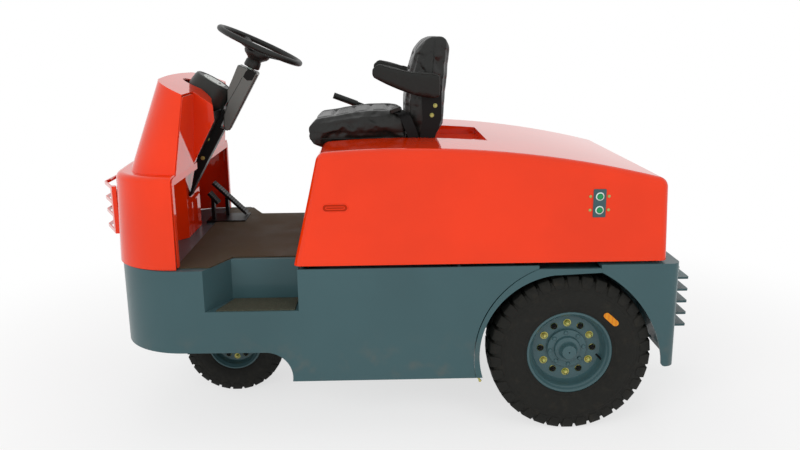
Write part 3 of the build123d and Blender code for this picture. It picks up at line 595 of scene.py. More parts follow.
# Share of the rear wheel's sizes that the front wheel has, and of the nut's size
FRONT_SCALE = 0.70
FRONT_NUT = 0.82
HUB_BOLT_RING = 0.0695
# Forms in shares of the nut's size
NUT_WASHER = [(0.62, 0), (0.62, 0.05)]
NUT_FLATS = [(0.46, 0.05), (0.5, 0.09), (0.5, 0.36), (0.44, 0.42)]
NUT_DOME = [(0.34, 0.40), (0.32, 0.52), (0.22, 0.62), (0.08, 0.66)]
NUT_SEAT = [(0.5, 0), (0.56, 0.06), (0.5, 0.12), (0.42, 0.06)]
STUD_FLATS = [(0.4, 0), (0.4, 0.36), (0.3, 0.42)]
STUD_END = [(0.2, 0.40), (0.19, 0.62), (0.14, 0.66)]
# Sticker: degrees round the wheel from the top, distance out, share of the half width, lean and turn
STICKER_TURN = -47
STICKER_OUT = 0.218
STICKER_SHARE = 0.957
STICKER_LEAN = -12.5
STICKER_SPIN = 5


def sized(rings, size, depth=None):
    """Rings given in shares, at a size; their depth may have its own."""
    return [(radius * size, height * (size if depth is None else depth)) for radius, height in rings]


def cap_nut(bm, place, size):
    """Hexagon nut on a washer, with a domed end."""
    turned(bm, place, sized(NUT_WASHER, size), 20)
    turned(bm, place, sized(NUT_FLATS, size), 6)
    turned(bm, place, sized(NUT_DOME, size), 16)


def hex_head(bm, place, size, height):
    """Hexagon bolt head on a washer."""
    turned(bm, place, [(0.66 * size, 0), (0.66 * size, 0.08 * size)], 20)
    rings = [(0.5 * size, 0.08 * size), (0.5 * size, height * 0.85), (0.43 * size, height)]
    turned(bm, place, rings, 6, turn=0.3)


def ring_of(place, radius, count, start=0.0, height=0.0):
    """Places round a circle, first at the top."""
    for step in range(count):
        yield place @ Matrix.Translation(polar(radius, start + FULL_TURN * step / count, height))


def build_wheel(kind, side_name, scale, studs, nut, body):
    """Painted rim and hub with nuts, studs in rings, hub bolts and a valve."""
    place, _, _ = tyre_frame(f"{kind}_tyre_{side_name}")
    depth = scale if kind == "rear" else scale * 1.02
    rim, hub = f"{kind}_rim_{side_name}", f"{kind}_hub_{side_name}"
    bm = bmesh.new()
    lathe(bm, place, sized(REAR_RIM, scale, depth), 128)
    piece(f"{rim}_dish", bm, "wheel_grey", body, (rim,), sharp=40)
    # the hub reaches as far out as its solid does
    low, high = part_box(hub)
    middle = place.translation.y
    tall = (high.y - middle if middle > 0 else middle - low.y) / HUB_RINGS[-2][1]
    bm = bmesh.new()
    barrel = [(0.112 * scale, -0.09 * scale), (0.112 * scale, -0.001)]
    turned(bm, place, barrel + sized(HUB_RINGS, scale, tall), 64)
    for spot in ring_of(place, HUB_BOLT_RING * scale, 8, 0.1, 0.0225 * tall):
        turned(bm, spot, [(0.0095 * scale, 0), (0.0095 * scale, 0.003), (0.007 * scale, 0.0055)], 6)
    piece(f"{hub}_dome", bm, "wheel_grey", body, (hub,), sharp=40)
    nuts, ends = bmesh.new(), bmesh.new()
    for spot in ring_of(place, studs, 6, 0.0, DISH_FACE * depth):
        cap_nut(nuts, spot, nut)
    for spot in ring_of(place, studs, 6, math.pi / 6, DISH_FACE * depth):
        lathe(nuts, spot, sized(NUT_SEAT, nut), 24)
        turned(ends, spot, sized(STUD_FLATS, nut), 6)
        turned(ends, spot, sized(STUD_END, nut), 14)
    piece(f"{kind}_nuts_{side_name}", nuts, "zinc", body, sharp=30)
    piece(f"{kind}_studs_{side_name}", ends, "black_paint", body, sharp=30)
    bm = bmesh.new()
    root = place @ Vector((-0.035 * scale, -0.128 * scale, 0.009))
    tip = place @ Vector((-0.045 * scale, -0.140 * scale, 0.036))
    run(bm, [root, (root + tip) / 2 + Vector((0, 0.002, 0)), tip], 0.004, 10)
    piece(f"{kind}_valve_{side_name}", bm, "black_paint", body)


class TRACTOR_OT_wheels(bpy.types.Operator):
    """Build tyres, rims, hubs, nuts and the plain sticker on the rear tyre"""

    bl_idname = "tractor.wheels"
    bl_label = "Wheels"

    def execute(self, context):
        sizes = context.scene.tractor_sizes
        for name, _ in SIDES:
            build_tyre(f"rear_tyre_{name}", f"rear_wheel_{name}", 0.1765, sizes.rear_lugs)
            build_tyre(f"front_tyre_{name}", "front_wheels", 0.1235, sizes.front_lugs)
            build_wheel("rear", name, 1.0, sizes.rear_studs, sizes.nut, f"rear_wheel_{name}")
            build_wheel("front", name, FRONT_SCALE, sizes.front_studs, sizes.nut * FRONT_NUT, "front_wheels")
        self.sticker()
        return {"FINISHED"}

    def sticker(self):
        """Plain capsule on the side wall, its long way nearly along the tread."""
        place, _, half = tyre_frame("rear_tyre_left")
        place = place @ Matrix.Rotation(math.radians(STICKER_TURN), 4, "Z")
        place = place @ Matrix.Translation((STICKER_OUT, 0, half * STICKER_SHARE))
        place = place @ Matrix.Rotation(math.radians(STICKER_LEAN), 4, "Y")
        place = place @ Matrix.Rotation(math.radians(STICKER_SPIN), 4, "Z")
        bm = bmesh.new()
        plate(bm, place, rounded(0.026, 0.074, 0.0128, 6), 0.0002, 0.0026)
        piece("tyre_sticker", bm, "sticker", "rear_wheel_left")


# Hull

NIPPLE_PLACE = (-0.262, 0.588, 0.2485)
NIPPLE_RINGS = [
    (0.0065, 0), (0.0065, 0.009), (0.004, 0.011), (0.004, 0.019), (0.006, 0.022), (0.006, 0.027),
    (0.0025, 0.030),
]
# Arch welds: beads, degrees at the first and between two, bead radius, depth below the arch's face
WELD_STEPS = 70
WELD_START = 42
WELD_STEP = 0.42
WELD_RADIUS = 0.0022
WELD_DEPTH = 0.0034


class TRACTOR_OT_hull(bpy.types.Operator):
    """Finish the steel hull, the mats and what carries the wheels"""

    bl_idname = "tractor.hull"
    bl_label = "Hull"

    def execute(self, context):
        plates = ["front_hull", "battery_bay", "rear_frame", "fender_left", "fender_right", "hinge_ears"]
        plates += ["wheel_housing_left", "wheel_housing_right", "hood_hinges"]
        dress(plates, "hull_grey", context.scene.tractor_sizes.edge)
        dress(["drive_axle", "steering_head", "steering_bearing"], "casting")
        dress(["battery"], "battery_case")
        dress(["floor_mat"], "mat")
        dress(["step_mat_left", "step_mat_right"], "grit")
        self.weld_beads()
        self.grease_nipple()
        return {"FINISHED"}

    def grease_nipple(self):
        """Brass nipple under the hull's lower edge, ahead of each rear wheel."""
        bm = bmesh.new()
        for _, side in SIDES:
            x, y, z = NIPPLE_PLACE
            turned(bm, stand((x, side * y, z), (-0.5, 0, -1)), NIPPLE_RINGS, 12)
        piece("grease_nipples", bm, "zinc", "chassis", sharp=40)

    def weld_beads(self):
        """Hand-laid weld beads along the arch flanges."""
        rear = Vector(joints["rear_left_spin"]["pos_m"])
        low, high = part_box("wheel_housing_left")
        for name, side in SIDES:
            bm = bmesh.new()
            spots = []
            for step in range(WELD_STEPS):
                angle = math.radians(WELD_START + WELD_STEP * step)
                wobble = 0.0016 * noise.noise(Vector((step * 0.9, side * 7.0, 0)))
                spot = polar((high.x - low.x) / 2 + 0.0008 + wobble, angle)
                spots.append((rear.x + spot.x, side * (high.y - WELD_DEPTH), rear.z + spot.y))
            run(bm, spots, WELD_RADIUS, 6)
            # the beads' paler grey is a painted highlight over real gloss
            made = piece(f"arch_weld_{name}", bm, "bead_grey", "chassis", sharp=60)
            normals = [vertex.normal.copy() for vertex in made.data.vertices]
            for vertex, normal in zip(made.data.vertices, normals):
                vertex.co += normal * (noise.noise(vertex.co * 190) * 0.0009)


# Hood and cowl

# Rear of the cowl in metres: the tower's rear from foot to head, and the nose's side from its front round
# the top, as pairs of X and Z
TOWER_REAR = ((0.9285, 1.075), (0.8935, 1.382))
NOSE_SIDE = [(0.895, 1.3880), (0.820, 1.331), (0.820, 1.267), (0.927, 1.080)]
# How far the mouth's edge stands ahead of the lips
LIP_SINK = 0.014
# Pairs of height and half width
NOSE_SPREAD = ((1.097, 0.199), (1.383, 0.256))
MOUTH_HALF = 0.196
POD_HOLE = 0.100
POD_HOLE_REAR = 0.836
SHEET = 0.006
FLANGE_X = 0.9255
# Sheet and flanges on one side, pairs of Y and Z
KNEE_OUTLINE = [
    (0.193, 1.075), (0.545, 1.075), (0.545, 1.0785), (0.505, 1.0785), (0.446, 1.382), (0.2555, 1.382),
    (0.199, 1.097),
]
FLANGE_OUTLINE = [
    (0.135, 1.047), (0.571, 1.047), (0.571, 1.058), (0.563, 1.071), (0.549, 1.0765), (0.135, 1.0765),
]
LEG_OUTLINE = [(0.541, 0.722), (0.571, 0.722), (0.571, 1.0469), (0.541, 1.0469)]
FLANGE_SCREWS = ((0.206, 1.062), (0.450, 1.060), (0.556, 0.93), (0.556, 0.77))
# Side lamps: the plate's width, half the way between the lamps, the screws beside it, and the turned forms
LAMP_PLATE_W = 0.050
LAMP_RISE = 0.027
LAMP_SCREW_Y = 0.036
LAMP_BEZEL = [(0.017, 0), (0.017, 0.003), (0.0145, 0.0055), (0.0125, 0.0045), (0.0125, 0)]
LAMP_DOME = [(0.0125, 0.001), (0.0125, 0.0035), (0.009, 0.0052), (0.004, 0.0058)]
LAMP_SCREW = [(0.0062, 0), (0.0062, 0.0016), (0.0045, 0.0036), (0.002, 0.0044)]
# Grip moulded into the hood's side: middle X and Z, then length and height
GRIP_MIDDLE = (0.299, 0.960)
GRIP_SIZE = (0.098, 0.030)


def nose_half(z):
    """Half width of the nose at a height."""
    (low, narrow), (high, wide) = NOSE_SPREAD
    return narrow + (wide - narrow) * (z - low) / (high - low)


class TRACTOR_OT_body(bpy.types.Operator):
    """Finish hood, cowl and their panels, with the screws of the flanges"""

    bl_idname = "tractor.body"
    bl_label = "Hood and cowl"

    def execute(self, context):
        edge = context.scene.tractor_sizes.edge
        dress(["hood", "cowl"], "hood_red")
        dress(["cowl_top", "steering_gear_cover", "lamp_box"], "hood_red", edge)
        self.nose()
        self.knee_sheet()
        self.flange_screws()
        self.side_lamps()
        self.grips()
        return {"FINISHED"}

    def grips(self):
        """Moulded finger grips on the hood's sides: a rolled rim round a darker red sheet laid on the skin, a
        painted shade that stands in for a shallow pocket.
        """
        skin = BVHTree.FromObject(nodes["hood"], bpy.context.evaluated_depsgraph_get())
        long, tall = GRIP_SIZE
        rims, shade_sheets = bmesh.new(), bmesh.new()
        for _, side in SIDES:

            def laid(wide, high, steps):
                """Oblong outline dropped on the hood's skin."""
                spots = []
                for x, z in rounded(wide, high, high * 0.49, steps):
                    start = Vector((GRIP_MIDDLE[0] + x, side, GRIP_MIDDLE[1] + z))
                    spots.append(skin.ray_cast(start, Vector((0, -side, 0)))[0])
                return spots

            run(rims, laid(long, tall, 8), 0.0024, 8, closed=True, up=(0, 1, 0))
            run(rims, laid(long * 0.74, tall * 0.30, 5), 0.0020, 8, closed=True, up=(0, 1, 0))
            face = laid(long, tall, 8)
            # thin darker red sheet on the skin inside each rim: painted shade of the pocket
            strip(shade_sheets, [[spot + Vector((0, side * out, 0)) for spot in face] for out in (-0.001, 0.0012)])
        piece("hood_grips", rims, "hood_red", "hood", sharp=80)
        piece("grip_hollows", shade_sheets, "hollow_red", "hood")

    def nose(self):
        """Skin of the nose: side walls, turned-in rear edges, and a top cut round the pod."""
        bm = bmesh.new()
        front_x, top_z = NOSE_SIDE[0]
        rear_x, brow_z = NOSE_SIDE[1]
        deep = front_x - POD_HOLE_REAR
        steep = (top_z - brow_z) / (front_x - rear_x)
        for _, side in SIDES:

            def spot(x, z, y=None):
                return bm.verts.new((x, side * (y or nose_half(z)), z))

            top, shoulder, chin, foot = [spot(x, z) for x, z in NOSE_SIDE]
            bm.faces.new((top, shoulder, chin, foot))
            rim = []
            for step in range(9):
                turn = math.pi / 2 * (1 - step / 8)
                x = front_x - deep * math.sin(turn)
                half = MOUTH_HALF + (POD_HOLE - MOUTH_HALF) * math.cos(turn)
                rim.append(spot(x, top_z - (front_x - x) * steep, half))
            brow = spot(rear_x + LIP_SINK, brow_z + LIP_SINK * steep, MOUTH_HALF)
            bm.faces.new((top, shoulder, brow, *rim))
            corner = spot(rear_x + LIP_SINK, NOSE_SIDE[2][1], MOUTH_HALF)
            end = spot(*NOSE_SIDE[3], MOUTH_HALF)
            bm.faces.new((shoulder, chin, corner, brow))
            bm.faces.new((chin, foot, end, corner))
        made = piece("nose_skin", bm, "hood_red", "chassis", ("column_shroud",), sharp=180)
        soften(made, 0.013, 5)
        made.modifiers["edges"].harden_normals = False
        skin = made.modifiers.new("skin", "SOLIDIFY")
        skin.thickness = 0.005
        skin.offset = 0
        made.modifiers.new("flats", "WEIGHTED_NORMAL")

    def knee_sheet(self):
        """Flat sheet that closes the tower's rear round the nose, with its bolted flanges."""
        foot, head = [Vector((x, 0, z)) for x, z in TOWER_REAR]
        slope = (head - foot).normalized()
        # both planes face the driver, with their X to the right and their Y up
        leaning = stand(foot, slope.cross(Vector((0, 1, 0))), (0, -1, 0))
        upright = stand((FLANGE_X, 0, 0), (-1, 0, 0), (0, -1, 0))
        bm = bmesh.new()
        for _, side in SIDES:
            rise = [(-side * y, (z - foot.z) / slope.z) for y, z in KNEE_OUTLINE]
            plate(bm, leaning, rise, -SHEET / 2, SHEET / 2)
            for outline in (FLANGE_OUTLINE, LEG_OUTLINE):
                plate(bm, upright, [(-side * y, z) for y, z in outline], -SHEET, 0)
        piece("knee_sheet", bm, "hood_red", "chassis", ("knee_panel",), edge=0.0012)

    def flange_screws(self):
        """Small screws along the knee sheet's flange and down the leg flanges."""
        bm = bmesh.new()
        for _, side in SIDES:
            for across, height in FLANGE_SCREWS:
                hex_head(bm, stand((FLANGE_X, side * across, height), (-1, 0, 0)), 0.008, 0.004)
        piece("flange_screws", bm, "steel", "chassis")

    def side_lamps(self):
        """Grey plate with two green lamps in chrome bezels and four screws."""
        low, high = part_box("lamp_plate")
        middle = (low + high) / 2
        place = stand((middle.x, low.y + 0.003, middle.z), (0, 1, 0), (0, 0, 1))
        bm = bmesh.new()
        plate(bm, place, rounded(high.z - low.z, LAMP_PLATE_W, 0.004), -0.003, 0.0)
        piece("side_lamp_plate", bm, "hull_grey", "hood", ("lamp_plate",), edge=0.0008)
        bezels, lenses, screws = bmesh.new(), bmesh.new(), bmesh.new()
        for rise in (LAMP_RISE, -LAMP_RISE):
            spot = place @ Matrix.Translation((rise, 0, 0))
            lathe(bezels, spot, LAMP_BEZEL, 40)
            turned(lenses, spot, LAMP_DOME, 32)
            for across in (LAMP_SCREW_Y, -LAMP_SCREW_Y):
                turned(screws, spot @ Matrix.Translation((0, across, -0.003)), LAMP_SCREW, 14)
        piece("side_lamp_bezels", bezels, "chrome", "hood")
        piece("side_lamp_lenses", lenses, "green_lens", "hood")
        piece("side_lamp_screws", screws, "zinc", "hood")


# Controls

# Ring of the steering wheel: radius, thickness, and steps round it
RING, RING_THICK, RING_STEPS = 0.1855, 0.0132, 180
# A spoke from the hub outward: distance out, half width, half thickness, drop below the ring's plane
SPOKE = [
    (0.030, 0.026, 0.008, 0.030), (0.060, 0.022, 0.007, 0.027), (0.105, 0.016, 0.006, 0.018),
    (0.150, 0.015, 0.0055, 0.008), (0.182, 0.017, 0.006, 0.001),
]
SPOKE_TURNS = (60, 180, 300)
WHEEL_HUB = [
    (0.024, -0.104), (0.033, -0.104), (0.036, -0.098), (0.034, -0.076), (0.031, -0.070), (0.034, -0.064),
    (0.052, -0.050), (0.058, -0.040), (0.058, -0.030), (0.052, -0.020), (0.040, -0.0145), (0.018, -0.0125),
    (0.004, -0.012),
]
# Column pieces in the column's own frame, metres: X forward of the shaft, Z up from the wheel's middle
COVER_HALF = 0.042
COVER_SIDE = [
    (-0.040, -0.113), (0.053, -0.113), (0.053, -0.238), (0.031, -0.290), (0.027, -0.345), (0.011, -0.386),
    (-0.006, -0.405), (-0.018, -0.400),
]
COVER_SEAM = [(0.014, -0.156), (0.020, -0.210), (0.027, -0.262), (0.031, -0.306)]
COVER_MOUTH = [
    (-0.034, -0.1125), (0.004, -0.1125), (0.010, -0.128), (0.012, -0.152), (-0.010, -0.160), (-0.030, -0.150),
]
# Ribs of the strip down the cover: how many, their pitch and half height, and the fall over which they lean
RIBS, RIB_PITCH, RIB_HALF, RIB_FALL = 46, 0.006, 0.0022, 0.290
BLADE_HALF = 0.032
BLADE_SIDE = [
    (0.022, -0.322), (0.070, -0.337), (0.078, -0.430), (0.062, -0.600), (0.041, -0.698), (0.033, -0.752),
    (0.027, -0.752), (0.026, -0.693), (0.016, -0.560), (0.002, -0.4035), (0.021, -0.4035),
]
BLADE_BOLTS = ((0.053, -0.474), (0.041, -0.563))
# Black backing inside the nose, X and Z of the tractor
BACKING_SIDE = [
    (0.829, 1.298), (0.829, 1.270), (0.926, 1.101), (0.931, 1.104), (0.834, 1.272), (0.834, 1.298),
]
BACKING_HALF = 0.188
# Instrument pod: middle of its face, its tilt, and its rings from the foot up
POD_FACE = (0.853, 0, 1.421)
POD_TILT = 32
POD_RINGS = [
    (0.060, -0.128), (0.0820, -0.128), (0.0900, -0.118), (0.0930, -0.086), (0.0930, -0.066), (0.0905, -0.040),
    (0.0870, -0.016), (0.0835, -0.005), (0.0790, -0.0008), (0.0745, 0.0), (0.0710, -0.0012),
    (0.0695, -0.0030), (0.030, -0.0030),
]
# Pedals: how many ribs, and X and Z of the tread's two ends
PEDALS = {
    "accelerator_pedal": (16, (0.812, 0.7455), (0.964, 0.8965)),
    "brake_pedal": (7, (0.926, 0.816), (0.966, 0.864)),
}


class TRACTOR_OT_controls(bpy.types.Operator):
    """Build steering wheel, column, instrument pod, pedals and lever"""

    bl_idname = "tractor.controls"
    bl_label = "Controls"

    def execute(self, context):
        self.steering_wheel()
        self.column()
        self.pod()
        dress(["pedal_base", "accelerator_pedal", "brake_pedal"], "black_paint", 0.001)
        dress(["hand_lever"], "wheel_grip")
        self.pedal_ribs()
        return {"FINISHED"}

    def steering_wheel(self):
        """Padded ring with finger scallops, three curved spokes and a deep hub."""
        place = stand(WHEEL_MIDDLE, COLUMN_UP)
        bm = bmesh.new()
        stations = []
        for step in range(RING_STEPS):
            turn = FULL_TURN * step / RING_STEPS
            scallop = 1 - 0.03 * max(0.0, math.cos(turn * 45)) ** 2
            station = []
            for k in range(16):
                around = polar(RING_THICK, FULL_TURN * k / 16)
                reach = RING + around.x * (scallop if around.x < 0 else 1)
                station.append(place @ polar(reach, turn, around.y * 0.98))
            stations.append(station)
        strip(bm, stations, closed=True)
        for turn in SPOKE_TURNS:
            spin = place @ Matrix.Rotation(math.radians(turn), 4, "Z")
            stations = []
            for out, wide, thin, drop in SPOKE:
                loop = [polar(1, FULL_TURN * k / 12) for k in range(12)]
                stations.append([spin @ Vector((out, wide * spot.x, thin * spot.y - drop)) for spot in loop])
            strip(bm, stations)
        turned(bm, place, WHEEL_HUB, 56)
        name, body = "steering_wheel_grip", "steering_wheel"
        piece(name, bm, "wheel_grip", body, ("steering_wheel",), sharp=45)
        bm = bmesh.new()
        turned(bm, place, [(0.016, -0.160), (0.016, -0.098)], 24)
        piece("steering_shaft", bm, "steel", body)

    def column(self):
        """Two-part column cover with its seam and dark mouth, over a black bracket with bolts."""
        place = stand(WHEEL_MIDDLE, COLUMN_UP)
        across = place.to_3x3() @ Vector((0, 1, 0))
        # seen from the side: X forward and Y up the column, or up in the tractor's own frame
        side_on = stand(WHEEL_MIDDLE, -across, place.to_3x3() @ Vector((1, 0, 0)))
        level = stand((0, 0, 0), (0, -1, 0), (1, 0, 0))
        bm = bmesh.new()
        plate(bm, side_on, COVER_SIDE, -COVER_HALF, COVER_HALF)
        name = "column_shells"
        cover = piece(name, bm, "column_shell", "chassis", ("column_cover",), edge=0.009)
        cover.modifiers["edges"].segments = 4
        bm = bmesh.new()
        plate(bm, side_on, BLADE_SIDE, -BLADE_HALF, BLADE_HALF)
        plate(bm, level, BACKING_SIDE, -BACKING_HALF, BACKING_HALF)
        name = "column_blade"
        piece(name, bm, "black_paint", "chassis", ("column_bracket",), edge=0.0012)
        # seam down both flanks, dark mouth and rim strip
        bm = bmesh.new()
        for side in (1, -1):
            seam = [place @ Vector((x, side * (COVER_HALF + 0.0001), z)) for x, z in COVER_SEAM]
            run(bm, seam, 0.0009, 6)
            faces = sorted((-side * (COVER_HALF - 0.001), -side * (COVER_HALF + 0.0006)))
            plate(bm, side_on, COVER_MOUTH, *faces)
        plate(bm, place @ Matrix.Translation((-0.012, 0, 0)), rounded(0.042, 0.064, 0.010), -0.118, -0.1122)
        piece("column_seam", bm, "black_paint", "chassis")
        # the strip follows the cover's edge on the driver's side
        bm = bmesh.new()
        (top_x, top_z), (foot_x, _) = COVER_SIDE[0], COVER_SIDE[-1]
        for k in range(RIBS):
            height = -0.125 - RIB_PITCH * k
            shift = (foot_x - top_x) * (top_z - height) / RIB_FALL
            spot = place @ Matrix.Translation((top_x - 0.0006 + shift, 0.018, 0))
            plate(bm, spot, rounded(0.003, 0.030, 0.0012, 2), height - RIB_HALF, height + RIB_HALF)
        piece("cover_rim_strip", bm, "arm_skin", "chassis")
        bm = bmesh.new()
        for x, z in BLADE_BOLTS:
            for side in (1, -1):
                hex_head(bm, stand(place @ Vector((x, side * BLADE_HALF, z)), across * side), 0.014, 0.008)
        piece("bracket_bolts", bm, "zinc", "chassis")

    def pod(self):
        """Turned pod with a stepped bezel and a plain pale display."""
        tilt = math.radians(POD_TILT)
        place = stand(POD_FACE, (-math.sin(tilt), 0, math.cos(tilt)))
        bm = bmesh.new()
        turned(bm, place, POD_RINGS, 72)
        piece("pod_body", bm, "moulding", "chassis", ("instrument_pod",), sharp=50)
        bm = bmesh.new()
        plate(bm, place, rounded(0.100, 0.108, 0.038, 8), -0.0029, -0.0010)
        piece("pod_display", bm, "display", "chassis", edge=0.0004)
        bm = bmesh.new()
        for k in range(9):
            spin = place @ Matrix.Rotation(math.radians(-120 + 30 * k), 4, "Z")
            mark = spin @ Matrix.Translation((0.036, 0, 0))
            plate(bm, mark, rounded(0.005, 0.0010, 0.0004, 1), -0.0009, -0.0004)
        window = place @ Matrix.Translation((-0.026, 0, 0))
        plate(bm, window, rounded(0.009, 0.030, 0.002, 2), -0.0009, -0.0003)
        piece("pod_marks", bm, "wheel_grip", "chassis")

    def pedal_ribs(self):
        """Rubber ribs across both pedals."""
        bm = bmesh.new()
        for name, (count, start, end) in PEDALS.items():
            low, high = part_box(name)
            across = (low.y + high.y) / 2
            start, end = [Vector((x, across, z)) for x, z in (start, end)]
            ahead = (end - start).normalized()
            for k in range(count):
                place = stand(start.lerp(end, (k + 0.5) / count), (-ahead.z, 0, ahead.x), ahead)
                plate(bm, place, rounded(0.0048, (high.y - low.y) * 0.9, 0.001, 1), -0.004, 0.003)
        piece("pedal_ribs", bm, "tyre_rubber", "chassis")


# Lamps, guard and coupling

# Head lamps: radius in shares of the lamp's, distance forward in shares of its depth
BEZEL_RINGS = [(1, 0), (1, 0.7), (0.97, 0.78), (0.88, 0.78), (0.87, 0.6)]
GLASS_RINGS = [(0.87, 0.5), (0.87, 0.74), (0.6, 0.9), (0.25, 0.98), (0.05, 1)]


class TRACTOR_OT_fittings(bpy.types.Operator):
    """Finish front lamps, their guard, and the drawbar coupling with its pin"""

    bl_idname = "tractor.fittings"
    bl_label = "Lamps and coupling"

    def execute(self, context):
        dress(["lamp_guard"], "hood_red", 0.0012)
        dress(["drawbar_coupling"], "hull_grey", 0.0012)
        dress(["tow_pin"], "steel")
        for name, _ in SIDES:
            self.head_lamp(name)
        return {"FINISHED"}

    def head_lamp(self, name):
        """Black bezel round a ribbed bowl."""
        low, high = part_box(f"head_lamp_{name}")
        middle = (low + high) / 2
        radius, deep = (high.z - low.z) / 2, high.x - low.x
        place = stand((low.x, middle.y, middle.z), (1, 0, 0), (0, 0, 1))
        bm = bmesh.new()
        turned(bm, place, sized(BEZEL_RINGS, radius, deep), 56)
        piece(f"lamp_bezel_{name}", bm, "black_paint", "chassis")
        bm = bmesh.new()
        turned(bm, place, sized(GLASS_RINGS, radius, deep), 48)
        piece(f"lamp_glass_{name}", bm, "lamp_lens", "chassis", (f"head_lamp_{name}",), sharp=60)


# Seat

# Half widths of cushion and backrest
CUSHION_HALF = 0.234
BACK_HALF = 0.219
# Side outlines, X and Z in metres
CUSHION_SIDE = [
    (0.012, 1.170), (0.330, 1.164), (0.388, 1.152), (0.416, 1.158), (0.432, 1.186), (0.434, 1.230),
    (0.416, 1.248), (0.340, 1.258), (0.250, 1.273), (0.170, 1.282), (0.080, 1.282), (0.012, 1.274),
]
BACK_SIDE = [
    (-0.100, 1.170), (-0.006, 1.170), (0.002, 1.240), (0.002, 1.330), (-0.016, 1.450), (-0.048, 1.555),
    (-0.080, 1.600), (-0.106, 1.612), (-0.150, 1.612), (-0.168, 1.598), (-0.168, 1.560), (-0.154, 1.412),
    (-0.134, 1.216),
]
ARM_SIDE = [
    (0.151, 1.452), (0.150, 1.474), (0.124, 1.492), (0.060, 1.478), (0.000, 1.464), (-0.118, 1.450),
    (-0.130, 1.442), (-0.131, 1.400), (-0.128, 1.362), (-0.114, 1.352), (-0.022, 1.366), (0.062, 1.400),
    (0.146, 1.438),
]
# Seams: distance of the bolsters' from the middle, and the places of the channels across the middle panel
CUSHION_SEAM = 0.145
CUSHION_CHANNELS = (0.085, 0.165, 0.245, 0.325)
SKIRT_SEAM_Z = 1.205
BACK_SEAM = 0.125
BACK_CHANNELS = (1.30, 1.38, 1.46, 1.53)
ARM_SEAM = 0.0262
SEAT_BOLTS = ((-0.112, 1.318), (-0.098, 1.278))
# Webbing from the buckle down behind the cushion's side
WEBBING = [
    (0.048, 0.207, 1.294), (0.030, 0.222, 1.288), (0.010, 0.238, 1.262), (-0.010, 0.2405, 1.215),
    (-0.022, 0.2405, 1.178),
]
WEBBING_HALF = 0.022
WEBBING_THICK = 0.0022
# Frames for which the cloth is filled
CLOTH_FRAMES = 20


def pad_mesh(name, outline, half, narrow=None):
    """Closed pad from a side outline; narrow(z) gives the share of the half width kept there."""
    bm = bmesh.new()
    stations = []
    for step in range(9):
        across = half * (-1 + step / 4)
        stations.append([Vector((x, across * (narrow(z) if narrow else 1.0), z)) for x, z in outline])
    strip(bm, stations)
    bmesh.ops.recalc_face_normals(bm, faces=bm.faces)
    data = bpy.data.meshes.new(name)
    bm.to_mesh(data)
    bm.free()
    made = bpy.data.objects.new(name, data)
    bpy.context.scene.collection.objects.link(made)
    return made


def apply_all(made):
    """Keeps the evaluated mesh of a piece and drops its modifiers."""
    graph = bpy.context.evaluated_depsgraph_get()
    data = bpy.data.meshes.new_from_object(made.evaluated_get(graph))
    made.modifiers.clear()
    made.data = data


def puff(made, pressure, limit, rounds):
    """Remeshes a pad, rounds its edges, and swells it as filled cloth up to a limit."""
    voxel = bpy.context.scene.tractor_sizes.voxel
    remesh = made.modifiers.new("remesh", "REMESH")
    remesh.mode = "VOXEL"
    remesh.voxel_size = voxel
    smooth = made.modifiers.new("round", "SMOOTH")
    smooth.iterations = rounds
    smooth.factor = 0.5
    apply_all(made)
    before = [vertex.co.copy() for vertex in made.data.vertices]
    cloth = made.modifiers.new("cloth", "CLOTH")
    cloth.settings.use_pressure = True
    cloth.settings.uniform_pressure_force = pressure
    cloth.settings.effector_weights.gravity = 0
    cloth.settings.quality = 5
    cloth.point_cache.frame_start = 1
    cloth.point_cache.frame_end = CLOTH_FRAMES
    for step in range(1, CLOTH_FRAMES + 1):
        bpy.context.scene.frame_set(step)
    apply_all(made)
    bpy.context.scene.frame_set(1)
    for vertex, start in zip(made.data.vertices, before):
        shift = vertex.co - start
        if shift.length > limit:
            vertex.co = start + shift * (limit / shift.length)


def press_seams(made, lines, depth, width):
    """Draws the cover in along seams; each line is a function of a point that gives its distance."""
    made.data.update()
    normals = [vertex.normal.copy() for vertex in made.data.vertices]
    for vertex, normal in zip(made.data.vertices, normals):
        pull = 0.0
        for line in lines:
            away = line(vertex.co, normal)
            if away is not None:
                pull = max(pull, math.exp(-((away / width) ** 2)))
        vertex.co -= normal * (depth * pull)
    made.data.update()


def finish_pad(made, finish, body, replaces):
    """Gives a puffed pad its cover, rides it on its body, and hides the parts it stands for."""
    made.data.materials.clear()
    made.data.materials.append(finish_of(finish))
    made.data.polygons.foreach_set("use_smooth", [True] * len(made.data.polygons))
    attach(made, body)
    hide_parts(*replaces)


def welt(name, made, starts, ahead, body, closed=False, radius=None):
    """Piping laid on a pad: each start is dropped on the cover along its own direction."""
    radius = radius or bpy.context.scene.tractor_sizes.welt / 2
    tree = BVHTree.FromObject(made, bpy.context.evaluated_depsgraph_get())
    spots = []
    for start in starts:
        hit, normal, _, _ = tree.ray_cast(Vector(start), Vector(ahead(Vector(start))).normalized())
        if hit is not None:
            spots.append(hit + normal * radius * 0.3)
    bm = bmesh.new()
    run(bm, spots, radius, 8, closed)
    return piece(name, bm, "vinyl", body, sharp=60)


